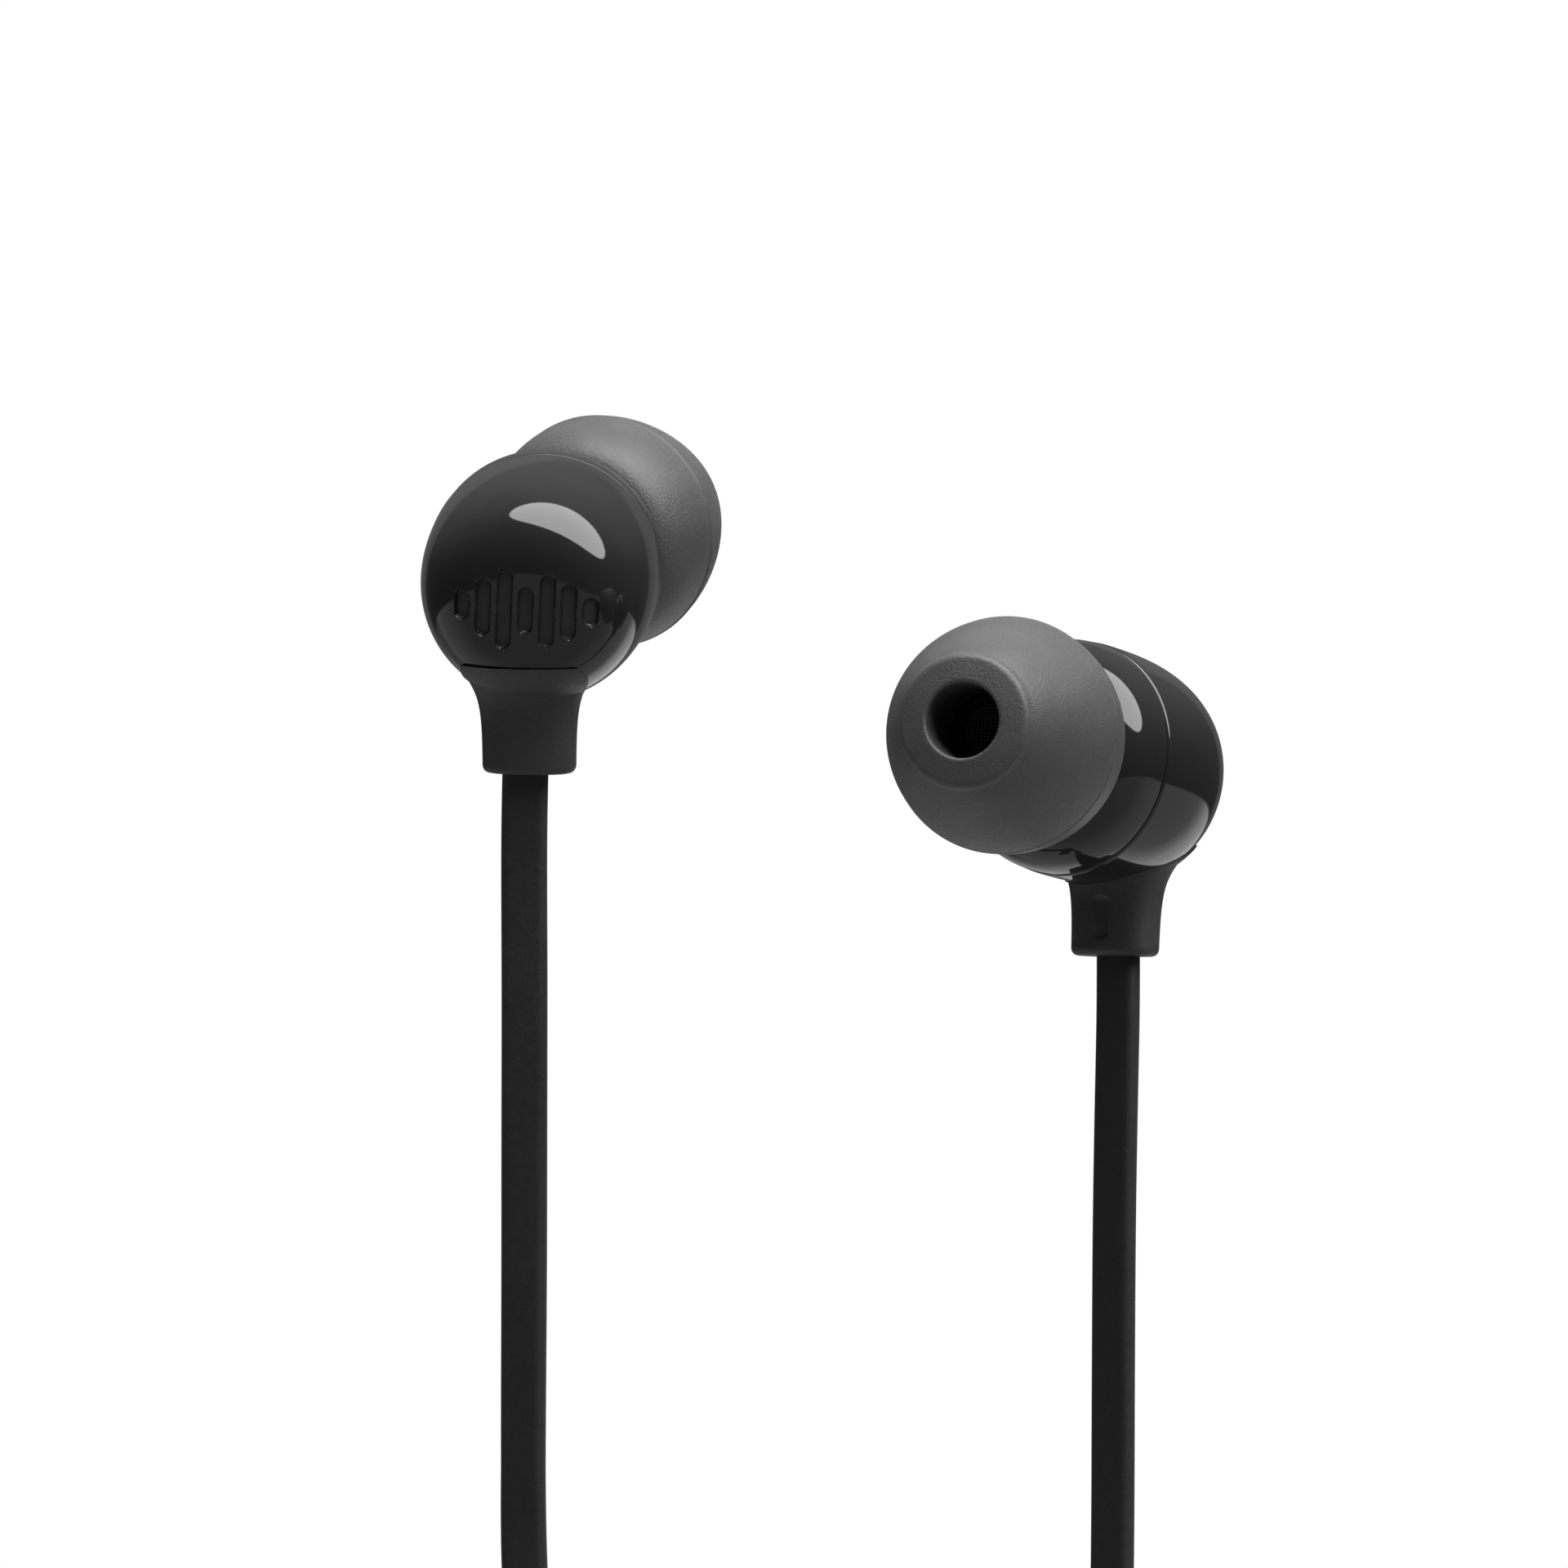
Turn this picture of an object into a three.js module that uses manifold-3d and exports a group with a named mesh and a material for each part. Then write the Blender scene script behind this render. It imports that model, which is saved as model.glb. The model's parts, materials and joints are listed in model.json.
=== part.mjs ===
// Wired in-ear earphones: two angled buds with silicone tips on flat cords, an inline
// one-button remote on the right cord, and the spare cord wound into a tied hank.
// Millimetres, +Z up. The origin lies midway between the two ears that hold the buds up;
// the cords hang down -Z and the pair faces -Y. The left bud is on the +X side.
import * as THREE from 'three';
import { mergeVertices } from 'three/addons/utils/BufferGeometryUtils.js';
import Module from 'manifold-3d';

const wasm = await Module();
wasm.setup();

// ---- driving dimensions ----
const GAP = 0.3; // between a piece and the neighbour that cuts it
const FIT = 0.1; // between pieces that slip into each other
const SIDES = 24; // facets round a bud
const FINE_SIDES = 16; // facets round a small piece

const HOUSING_RADIUS = 6.2; // at the seam between the two shells
const REAR_DEPTH = 8.9; // seam to the crown of the rear dome
const REAR_POWER = 3.1; // how square the rear dome is
const FRONT_DEPTH = 4.5;
const FRONT_POWER = 2.6;
const WALL = 0.9;
const HOUSING_PITCH = 6.3; // degrees that the housing's axis rises towards the nozzle
const NOZZLE_YAW = 17; // degrees that the nozzle turns towards the ear canal
const NOZZLE_RISE = 2.2;
const NOZZLE_START = [0, 0.74, 0.22]; // where the nozzle's axis crosses the seam plane
const NOZZLE_LENGTH = 12.1;
const NECK_FOOT = 4.1; // radius where the neck leaves the front shell
const NECK_RADIUS = 3.3; // inside the tip's mouth
const NECK_END = 7.2;
const NOZZLE_RADIUS = 2.4;
const BARB_RADIUS = 2.7;
const NOZZLE_BORE = 1.6;

const TIP_AT = 5.45; // from the seam plane to the tip's rear mouth, along the nozzle
const TIP_RADIUS = 6.15; // at the parting line, its widest
const TIP_LINE = 4.4; // from the rear mouth to the parting line
const TIP_LENGTH = 11.9;
const TIP_MOUTH = 4.3; // radius of the rear mouth, outside
const TIP_FLANK = 6.9; // from the parting line to the end of the domed flank
const TIP_FRONT = 3.5; // radius there, where the flat front face starts
const TIP_SKIN = 0.65;
const TIP_HOLE = 1.95;
const SLEEVE_FROM = 3.05; // the inner sleeve that grips the nozzle
const SLEEVE_TO = 7.2;

const RELIEF_BACK = 4.4; // the cord's axis behind the seam plane
const RELIEF_WIDTH = 5.0;
const RELIEF_DEPTH = 3.1;
const RELIEF_FLARE = 6.7; // width where it meets the housing
const RELIEF_END = 10.1; // below the housing's axis
const STEM_WIDTH = 3; // the relief's root, through a slot in the rear shell
const STEM_DEPTH = 1.6;
const STEM_CORNER = 0.5;
const FLANGE_GROWTH = 1; // its head inside the shell is this much wider

const DRIVER_RADIUS = 4.95;
const COIL_RADIUS = 2.5;
const GRILLE_HOLE = 0.55;
const GRILLE_PITCH = 2.3; // from the middle hole to the six round it

const CORD_WIDTH = 2.4;
const CORD_THICK = 1.1;

const HANK_Y = 2; // middle of the hank
const RUN_TOP = -104;
const RUN = 44; // straight part of the hank's turns
const COLUMN = 2.5; // from turn to turn, side by side
const LAYER = 1.25; // from turn to turn, one over the other
const FOLD = 7.3; // smallest radius at the folds
const HANK_INSIDE = FOLD - LAYER / 2;
const HANK_OUTSIDE = FOLD + 3.8 * LAYER;
const HANK_X = [-1.5 * COLUMN, 2.5 * COLUMN];
const TAIL_X = -5.3; // where the plug's cord leaves, beside the hank

const REMOTE_LENGTH = 31;
const REMOTE_WIDTH = 6;
const REMOTE_DEPTH = 4.2;
const REMOTE_WALL = 0.7;
const REMOTE_SPLIT = 0.25; // the shells' joint, behind the middle
const REMOTE_AT = [-7.6, -3.4, -71.7];
const REMOTE_UP = [-14, 5.9, 36.3]; // the way the cord rises through it
const BUTTON_LENGTH = 9;
const BUTTON_WIDTH = 3;
const SLEEVE_STUB = 3.2; // the soft sleeves at the remote's ends
const MIC_AT = 10.5; // above the remote's middle

const PLUG_TOP = -162;
const PLUG_RADIUS = 1.75; // the 3.5 mm plug
const PLUG_CORE = 0.8;

const TIE_HEIGHT = 8;
const TIE_THICK = 1;
const SPLITTER_SIZE = [6.4, 3.2, 15];
const SPLITTER_X = 3.1; // between the two branches and over the trunk

// ---- materials ----
const finish = (color, roughness, metalness = 0) =>
  new THREE.MeshStandardMaterial({ color, roughness, metalness });
const gloss = () => finish(0x2b2b2d, 0.25);
const matte = () => finish(0x1e1e20, 0.7);
const silicone = () => finish(0x55565a, 0.6);
const cordSkin = () => finish(0x1b1b1d, 0.65);
const steel = () => finish(0xb8bbc0, 0.3, 1);
const gold = () => finish(0xd9b25a, 0.25, 1);
const copper = () => finish(0xb06a3b, 0.35, 1);
const magnetic = () => finish(0x8f9296, 0.35, 1);
const film = () => finish(0xc9c4b4, 0.4);
const board = () => finish(0x1f4d33, 0.5);

// ---- solids ----
const radians = THREE.MathUtils.degToRad;

function solid(geometry) {
  const bare = geometry.clone();
  bare.deleteAttribute('normal');
  bare.deleteAttribute('uv');
  const merged = mergeVertices(bare, 1e-4);
  const index = merged.index.array;
  const kept = [];
  for (let i = 0; i < index.length; i += 3) {
    const [a, b, c] = index.slice(i, i + 3);
    if (a !== b && b !== c && c !== a) kept.push(a, b, c);
  }
  const vertProperties = new Float32Array(merged.attributes.position.array);
  const triVerts = new Uint32Array(kept);
  return new wasm.Manifold(new wasm.Mesh({ numProp: 3, vertProperties, triVerts }));
}

function geometryOf(manifold) {
  const made = manifold.getMesh();
  const geometry = new THREE.BufferGeometry();
  geometry.setAttribute('position', new THREE.BufferAttribute(made.vertProperties, 3));
  geometry.setIndex(new THREE.BufferAttribute(made.triVerts, 1));
  geometry.computeVertexNormals();
  return geometry;
}

function mesh(name, geometry, material) {
  const made = new THREE.Mesh(geometry, material);
  made.name = name;
  return made;
}

// A solid of revolution about +X: profile points are [radius, distance along X].
function turned(profile, sides = SIDES) {
  const area = profile.reduce((sum, [r, s], i) => {
    const [r2, s2] = profile[(i + 1) % profile.length];
    return sum + r * s2 - r2 * s;
  }, 0);
  const ordered = area > 0 ? profile : [...profile].reverse();
  const points = ordered.map(([r, s]) => new THREE.Vector2(r, s));
  const geometry = new THREE.LatheGeometry(points, sides);
  return geometry.rotateZ(-Math.PI / 2);
}

// A ring or cylinder about +X from one distance to another.
function ring(inner, outer, from, to, sides = SIDES) {
  if (inner === 0) return turned([[0, from], [outer, from], [outer, to], [0, to]], sides);
  return turned([[inner, from], [outer, from], [outer, to], [inner, to], [inner, from]], sides);
}

function box(x, y, z, centre = [0, 0, 0]) {
  return new THREE.BoxGeometry(x, y, z).translate(...centre);
}

// A rounded rectangle, as a shape in its own plane.
function rounded(width, height, radius) {
  const steps = 3;
  const shape = new THREE.Shape();
  const corners = [[1, 1], [-1, 1], [-1, -1], [1, -1]];
  const points = [];
  corners.forEach(([sx, sy], quarter) => {
    for (let i = 0; i <= steps; i++) {
      const angle = (quarter + i / steps) * Math.PI / 2;
      points.push(new THREE.Vector2(
        sx * (width / 2 - radius) + radius * Math.cos(angle),
        sy * (height / 2 - radius) + radius * Math.sin(angle)));
    }
  });
  shape.setFromPoints(points);
  return shape;
}

// A rounded block, extruded along Z from one height to another.
function post(width, depth, radius, from, to) {
  const shape = rounded(width, depth, radius);
  return new THREE.ExtrudeGeometry(shape, { depth: to - from, bevelEnabled: false }).translate(0, 0, from);
}

// Points of a squared dome from its rim (at 0) to its crown, as [radius, distance].
function dome(radius, depth, power, steps) {
  const points = [];
  for (let i = 0; i < steps; i++) {
    const angle = i / steps * Math.PI / 2;
    points.push([radius * Math.cos(angle) ** (2 / power), depth * Math.sin(angle) ** (2 / power)]);
  }
  return [...points, [0, depth]];
}

// ---- one bud: +X points out along the housing's axis to the nozzle, +Z up ----
function rearShell() {
  const outside = dome(HOUSING_RADIUS, REAR_DEPTH, REAR_POWER, 9).reverse();
  const inside = dome(HOUSING_RADIUS - WALL, REAR_DEPTH - WALL, REAR_POWER, 6);
  return turned([...outside, ...inside].map(([r, s]) => [r, -s]));
}

function frontShell(nozzleFrame) {
  const outside = dome(HOUSING_RADIUS, FRONT_DEPTH, FRONT_POWER, 7);
  const inside = dome(HOUSING_RADIUS - WALL, FRONT_DEPTH - WALL, FRONT_POWER, 5);
  const lip = 0.05; // the shells meet with a hairline between them
  const skin = solid(turned([[0, lip], ...outside.map(([r, s]) => [r, s + lip])]));
  const hollow = solid(turned([[0, -1], [HOUSING_RADIUS - WALL, -1], ...inside]));
  const barbAt = NOZZLE_LENGTH - 1.8;
  const root = 2.2; // the neck starts inside the shell
  const nozzle = solid(turned([
    [0, root], [NECK_FOOT, root], [NECK_FOOT, 3.9], [NECK_RADIUS, 4.9],
    [NECK_RADIUS - 0.1, NECK_END - 0.4], [NECK_RADIUS - 0.4, NECK_END], [NOZZLE_RADIUS, NECK_END],
    [NOZZLE_RADIUS, barbAt], [BARB_RADIUS, barbAt + 0.3], [BARB_RADIUS, barbAt + 0.8],
    [NOZZLE_RADIUS, NOZZLE_LENGTH], [0, NOZZLE_LENGTH],
  ], FINE_SIDES).applyMatrix4(nozzleFrame));
  const bore = solid(ring(0, NOZZLE_BORE, 1, NOZZLE_LENGTH + 1, FINE_SIDES).applyMatrix4(nozzleFrame));
  return geometryOf(skin.add(nozzle).subtract(hollow).subtract(bore));
}

// A soft bulb: widest at its parting line, drawn in behind it and domed ahead of it.
function earTip() {
  const outside = [];
  const inside = [];
  for (let i = 0; i <= 5; i++) {
    const angle = i / 5 * Math.PI / 2;
    const swell = (TIP_RADIUS - TIP_MOUTH) * Math.sin(angle);
    outside.push([TIP_MOUTH + swell, TIP_LINE * (1 - Math.cos(angle))]);
    inside.push([TIP_MOUTH - TIP_SKIN + swell, TIP_SKIN + (TIP_LINE - TIP_SKIN) * (1 - Math.cos(angle))]);
  }
  for (let i = 1; i <= 7; i++) {
    const along = i / 7;
    const swell = (1 - along ** 1.4) ** 0.9;
    outside.push([TIP_FRONT + (TIP_RADIUS - TIP_FRONT) * swell, TIP_LINE + TIP_FLANK * along]);
  }
  const sleeve = BARB_RADIUS + FIT;
  const crotch = SLEEVE_TO - 0.35; // where the sleeve and the skin part
  return turned([
    [sleeve, SLEEVE_TO], [sleeve, SLEEVE_FROM], [sleeve + TIP_SKIN, SLEEVE_FROM], [sleeve + TIP_SKIN, crotch],
    [4.6, crotch - 0.6],
    ...inside.reverse(), ...outside,
    [TIP_HOLE + 0.35, TIP_LENGTH], [TIP_HOLE, TIP_LENGTH - 0.3], [TIP_HOLE, SLEEVE_TO],
    [sleeve, SLEEVE_TO],
  ]);
}

function strainRelief(rearSkin) {
  const waist = RELIEF_WIDTH / 2;
  const flare = RELIEF_FLARE / 2;
  const outside = turned([
    [0, 4], [flare + 0.2, 4], [flare, 5.2], [waist + 0.4, 6.1], [waist, 7.2], [waist, RELIEF_END],
    [0, RELIEF_END],
  ], FINE_SIDES).rotateY(Math.PI / 2).scale(RELIEF_DEPTH / RELIEF_WIDTH, 1, 1).translate(-RELIEF_BACK, 0, 0);
  const skirt = solid(outside).subtract(rearSkin);
  const stem = solid(post(STEM_DEPTH, STEM_WIDTH, STEM_CORNER, -8, -4.2).translate(-RELIEF_BACK, 0, 0));
  const flange = solid(post(STEM_DEPTH + FLANGE_GROWTH, STEM_WIDTH + FLANGE_GROWTH, STEM_CORNER, -4.6, -3.9)
    .translate(-RELIEF_BACK, 0, 0));
  return geometryOf(skirt.add(stem).add(flange));
}

// The moving-coil driver, front to back along the housing's axis.
function driver(side) {
  const turns = [0, 1, 2, 3, 4, 5].map((i) => i * Math.PI / 3);
  const holes = [[0, 0], ...turns.map((a) => [GRILLE_PITCH * Math.cos(a), GRILLE_PITCH * Math.sin(a)])];
  const drilled = holes.reduce(
    (plate, [y, z]) => plate.subtract(solid(ring(0, GRILLE_HOLE, 0, 2, 8).translate(0, y, z))),
    solid(ring(0, DRIVER_RADIUS - FIT / 2, 0.75, 1.05)));
  return [
    mesh(`${side}_driver_grille`, geometryOf(drilled), steel()),
    mesh(`${side}_diaphragm`, turned([
      [0, 0.45], [1.2, 0.4], [2.4, 0], [3.4, 0.25], [4.4, 0.1], [4.4, -0.05], [3.4, 0.1], [2.4, -0.15],
      [1.2, 0.25], [0, 0.3],
    ]), film()),
    mesh(`${side}_driver_frame`, turned([
      [4.5, 0.4], [DRIVER_RADIUS, 0.4], [DRIVER_RADIUS, -1.2], [3.6, -2.4], [3.15, -2.4], [3.15, -1.9],
      [4.5, -0.9], [4.5, 0.4],
    ]), matte()),
    mesh(`${side}_voice_coil`, ring(COIL_RADIUS - 0.15, COIL_RADIUS, -1.2, -0.25, FINE_SIDES), copper()),
    mesh(`${side}_top_plate`, ring(0, COIL_RADIUS - GAP, -0.9, -0.4, FINE_SIDES), magnetic()),
    mesh(`${side}_magnet`, ring(0, COIL_RADIUS - 0.4, -2.1, -1, FINE_SIDES), magnetic()),
    mesh(`${side}_yoke`, turned([
      [0, -2.7], [3.05, -2.7], [3.05, -0.6], [2.65, -0.6], [2.65, -2.2], [0, -2.2],
    ], FINE_SIDES), steel()),
    mesh(`${side}_terminal_board`, box(0.5, 4.4, 2.6, [-3.1, 0, 0.8]), board()),
  ];
}

// Headings and tilts are degrees: about +Z, then about +X, then about +Y.
function bud(side, centre, heading, tilt, lean) {
  const inward = side === 'left' ? 1 : -1; // the right bud mirrors the left one
  const yaw = radians(inward * NOZZLE_YAW);
  const nozzleFrame = new THREE.Matrix4()
    .makeTranslation(NOZZLE_START[0], -inward * NOZZLE_START[1], NOZZLE_START[2])
    .multiply(new THREE.Matrix4().makeRotationZ(yaw))
    .multiply(new THREE.Matrix4().makeRotationY(radians(HOUSING_PITCH - NOZZLE_RISE)));
  const pitch = new THREE.Matrix4().makeRotationY(radians(-HOUSING_PITCH));
  const rearGrown = dome(HOUSING_RADIUS + GAP, REAR_DEPTH + GAP, REAR_POWER, 9);
  const rearSkin = solid(turned([[0, 0], ...rearGrown].map(([r, s]) => [r, -s])).applyMatrix4(pitch));
  const relief = strainRelief(rearSkin);
  const slot = solid(post(STEM_DEPTH + 2 * GAP, STEM_WIDTH + 2 * GAP, STEM_CORNER + FIT, -9, -4)
    .translate(-RELIEF_BACK, 0, 0));
  const rear = geometryOf(solid(rearShell().applyMatrix4(pitch)).subtract(slot));

  const housing = new THREE.Group();
  housing.rotation.y = radians(-HOUSING_PITCH);
  housing.add(mesh(`${side}_front_shell`, frontShell(nozzleFrame), gloss()), ...driver(side));

  const nozzle = new THREE.Group();
  nozzle.applyMatrix4(nozzleFrame);
  const tip = mesh(`${side}_ear_tip`, earTip(), silicone());
  tip.position.x = TIP_AT;
  const screen = mesh(`${side}_nozzle_screen`, ring(0, NOZZLE_BORE - FIT, 11.4, 11.7, FINE_SIDES), steel());
  nozzle.add(tip, screen);
  housing.add(nozzle);

  const whole = new THREE.Group();
  whole.position.set(...centre);
  whole.rotation.set(radians(tilt), radians(lean), radians(heading), 'YXZ');
  whole.add(
    housing,
    mesh(`${side}_rear_shell`, rear, gloss()),
    mesh(`${side}_strain_relief`, relief, matte()),
  );
  return whole;
}

// ---- cords ----
function flatSection() {
  const half = CORD_WIDTH / 2;
  const thin = CORD_THICK / 2;
  const cut = 0.3;
  const corners = [[half, thin - cut], [half - cut, thin], [cut - half, thin], [-half, thin - cut],
    [-half, cut - thin], [cut - half, -thin], [half - cut, -thin], [half, cut - thin]];
  return new THREE.Shape(corners.map(([x, y]) => new THREE.Vector2(x, y)));
}

function cord(name, route, steps) {
  const path = new THREE.CatmullRomCurve3(route.map((p) => new THREE.Vector3(...p)));
  const settings = { steps, bevelEnabled: false, extrudePath: path };
  return mesh(name, new THREE.ExtrudeGeometry(flatSection(), settings), cordSkin());
}

const LEFT_ROUTE = [
  [15.64, 0.06, -15.56], [15.64, -0.1, -18], [15.55, -0.2, -22], [15.43, -0.15, -29], [15.38, -0.05, -37],
  [15.35, 0, -44.5], [15.25, -0.1, -50], [14.7, -0.5, -56], [13.6, -1.3, -63], [12.2, -2.6, -71],
  [10.5, -4.3, -79], [8.6, -6, -86], [6.7, -7.3, -93.5],
];
const RIGHT_UPPER_ROUTE = [
  [-15.26, -0.14, -5.96], [-15.32, 0.15, -8.5], [-15.32, 0.25, -12], [-15.3, 0.2, -17], [-15.31, 0.1, -24],
  [-15.32, 0, -32], [-15.36, 0, -40], [-15.34, 0, -46], [-15.08, -0.2, -50.7], [-14.36, -0.55, -54.16],
];
const RIGHT_LOWER_ROUTE = [
  [-0.83, -6.25, -89.24], [0.1, -6.64, -91.6], [1, -7, -93.9],
];

// The spare cord, wound lengthwise: a ring with straight runs, about +X.
function outline(radius) {
  const shape = new THREE.Path();
  const points = [];
  for (let end = 0; end < 2; end++) {
    const z = end === 0 ? RUN_TOP : RUN_TOP - RUN;
    for (let i = 0; i <= 12; i++) {
      const angle = (end + i / 12) * Math.PI;
      points.push(new THREE.Vector2(HANK_Y + radius * Math.cos(angle), z + radius * Math.sin(angle)));
    }
  }
  return shape.setFromPoints(points);
}

function hank() {
  const shape = new THREE.Shape(outline(HANK_OUTSIDE).getPoints());
  shape.holes.push(outline(HANK_INSIDE));
  const geometry = new THREE.ExtrudeGeometry(shape, { depth: HANK_X[1] - HANK_X[0], bevelEnabled: false });
  // the outline's plane (x, y) becomes the world's (y, z)
  return geometry.rotateX(Math.PI / 2).rotateZ(Math.PI / 2).translate(HANK_X[0], 0, 0);
}

function tie() {
  const middle = RUN_TOP - RUN / 2;
  const from = TAIL_X - CORD_WIDTH / 2 - GAP;
  const to = HANK_X[1] + GAP;
  const across = 2 * (HANK_OUTSIDE + GAP);
  const shape = rounded(to - from + 2 * TIE_THICK, across + 2 * TIE_THICK, 2.2);
  shape.holes.push(rounded(to - from, across, 0.3));
  const geometry = new THREE.ExtrudeGeometry(shape, { depth: TIE_HEIGHT, bevelEnabled: false });
  return geometry.translate((from + to) / 2, HANK_Y, middle - TIE_HEIGHT / 2);
}

function splitter() {
  const [width, depth, length] = SPLITTER_SIZE;
  const run = HANK_Y + HANK_INSIDE - GAP - depth / 2; // inside the back run of the hank
  return post(width, depth, 0.9, -length / 2, length / 2).translate(SPLITTER_X, run, RUN_TOP - RUN / 2);
}

// ---- the remote, in its own frame: +Z up the cord, the button facing -Y ----
function remote() {
  const half = REMOTE_LENGTH / 2;
  const body = solid(post(REMOTE_WIDTH, REMOTE_DEPTH, 1.2, -half, half));
  const inside = solid(post(REMOTE_WIDTH - 2 * REMOTE_WALL, REMOTE_DEPTH - 2 * REMOTE_WALL, 0.7,
    REMOTE_WALL - half, half - REMOTE_WALL));
  const cordWay = solid(box(CORD_WIDTH + 2 * GAP, CORD_THICK + 2 * GAP, REMOTE_LENGTH + 2));
  const shell = body.subtract(inside).subtract(cordWay);
  const side = 10; // depth of the blocks that part the shells, with a hairline between them
  const frontHalf = solid(box(20, side, 60, [0, REMOTE_SPLIT - side / 2, 0]));
  const rearHalf = solid(box(20, side, 60, [0, REMOTE_SPLIT + 0.05 + side / 2, 0]));
  const face = -REMOTE_DEPTH / 2;
  const window = solid(post(BUTTON_WIDTH + 0.3, BUTTON_LENGTH + 0.3, 1.2, 0, 4).rotateX(Math.PI / 2)
    .translate(0, face + 1.5, 0));
  const micHole = solid(ring(0, 0.4, 0, 4, 8).rotateZ(Math.PI / 2).translate(0, face - 1, MIC_AT));
  const cap = solid(post(BUTTON_WIDTH, BUTTON_LENGTH, 1.1, 0, 1.2).rotateX(Math.PI / 2)
    .translate(0, face + 0.9, 0));
  const brim = solid(post(BUTTON_WIDTH + 1, BUTTON_LENGTH + 1, 1.2, 0, 0.3).rotateX(Math.PI / 2)
    .translate(0, face + 1.15, 0));
  const plunger = solid(ring(0, 0.6, 0, 0.9, FINE_SIDES).rotateZ(Math.PI / 2).translate(0, -1.05, 0));
  const stub = (from, to) => post(3.4, 2.1, 0.6, from, to);
  const microphone = ring(0, 1.1, 0, 1.1, 12).rotateZ(Math.PI / 2).translate(0, -0.5, MIC_AT - GAP);
  const front = shell.intersect(frontHalf).subtract(window).subtract(micHole);
  return [
    mesh('remote_front_shell', geometryOf(front), gloss()),
    mesh('remote_rear_shell', geometryOf(shell.intersect(rearHalf)), matte()),
    mesh('remote_button', geometryOf(cap.add(brim).add(plunger)), matte()),
    mesh('remote_circuit_board', box(4.2, 0.4, 24, [0, 0.9, 0]), board()),
    mesh('remote_dome_switch', ring(0, 1.2, 0, 0.5, 12).rotateZ(Math.PI / 2).translate(0, 0.1, 0), steel()),
    mesh('remote_microphone', microphone, steel()),
    mesh('remote_upper_relief', stub(half + GAP, half + SLEEVE_STUB), matte()),
    mesh('remote_lower_relief', stub(-half - SLEEVE_STUB, -half - GAP), matte()),
  ];
}

// ---- the plug, hanging down -Z from its cord ----
function plug() {
  // distances run down from the top of the strain relief
  const insulators = [[21.3, 22], [25, 25.7], [28.2, 28.9]];
  const core = insulators.reduce(
    (sum, [from, to]) => sum.add(solid(ring(0, PLUG_RADIUS, from, to, FINE_SIDES))),
    solid(ring(0, PLUG_CORE, 18.2, 29.2, FINE_SIDES)));
  const inner = PLUG_CORE + FIT / 2;
  const contact = (from, to) => ring(inner, PLUG_RADIUS, from, to, FINE_SIDES);
  const grip = [[0, 6.3], [2.3, 6.3], [2.9, 7], [3, 12], [3.2, 17], [2.9, 17.6], [0, 17.6]];
  const pieces = [
    mesh('plug_strain_relief', turned([[0, 0], [1.6, 0], [1.8, 4], [2.2, 6], [0, 6]], FINE_SIDES), matte()),
    mesh('plug_grip', turned(grip, FINE_SIDES), gloss()),
    mesh('plug_insulator', geometryOf(core), finish(0x111113, 0.5)),
    mesh('plug_sleeve_contact', turned([
      [inner, 17.9], [2.6, 17.9], [2.6, 18.5], [PLUG_RADIUS, 18.5], [PLUG_RADIUS, 21.25], [inner, 21.25],
      [inner, 17.9],
    ], FINE_SIDES), gold()),
    mesh('plug_lower_ring', contact(22.05, 24.95), gold()),
    mesh('plug_upper_ring', contact(25.75, 28.15), gold()),
    mesh('plug_tip_contact', turned([
      [0, 29.3], [inner, 29.3], [inner, 28.95], [1.6, 28.95], [1.2, 29.9], [1.7, 30.8], [0.9, 32.2],
      [0, 32.4],
    ], FINE_SIDES), gold()),
  ];
  const frame = new THREE.Group();
  frame.add(...pieces);
  frame.rotation.y = Math.PI / 2; // +X of the pieces points down
  frame.position.set(TAIL_X, HANK_Y - FOLD - LAYER, PLUG_TOP);
  return frame;
}

// ---- assembly ----
const earphones = new THREE.Group();
earphones.add(
  bud('left', [13.05, -2.8, -4.95], -124, -4.3, -0.7),
  bud('right', [-14.3, 2.6, 4.95], 84.9, 8.8, 3),
  cord('left_cord', LEFT_ROUTE, 30),
  cord('right_cord_upper', RIGHT_UPPER_ROUTE, 18),
  cord('right_cord_lower', RIGHT_LOWER_ROUTE, 4),
);

const remoteAt = new THREE.Group();
remoteAt.add(...remote());
remoteAt.position.set(...REMOTE_AT);
const upward = new THREE.Vector3(...REMOTE_UP).normalize();
remoteAt.quaternion.setFromUnitVectors(new THREE.Vector3(0, 0, 1), upward);
earphones.add(remoteAt);

const tail = post(CORD_WIDTH, CORD_THICK, 0.35, PLUG_TOP + GAP, RUN_TOP - RUN + 6);
tail.translate(TAIL_X, HANK_Y - FOLD - LAYER, 0);
earphones.add(
  mesh('cord_hank', hank(), cordSkin()),
  mesh('cord_tie', tie(), matte()),
  mesh('cord_splitter', splitter(), gloss()),
  mesh('plug_cord', tail, cordSkin()),
  plug(),
);

export default earphones;
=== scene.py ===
"""Wired in-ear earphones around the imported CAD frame: camera, cords, buds, remote, plug, light.

Lengths are in millimetres in this script and become metres where a mesh, a light or a
curve is made. The buds, the hank and the cords' routes lie where the CAD has them.
"""
import json
import math

import bmesh
import bpy
import numpy as np
from mathutils import Matrix, Vector

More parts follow.
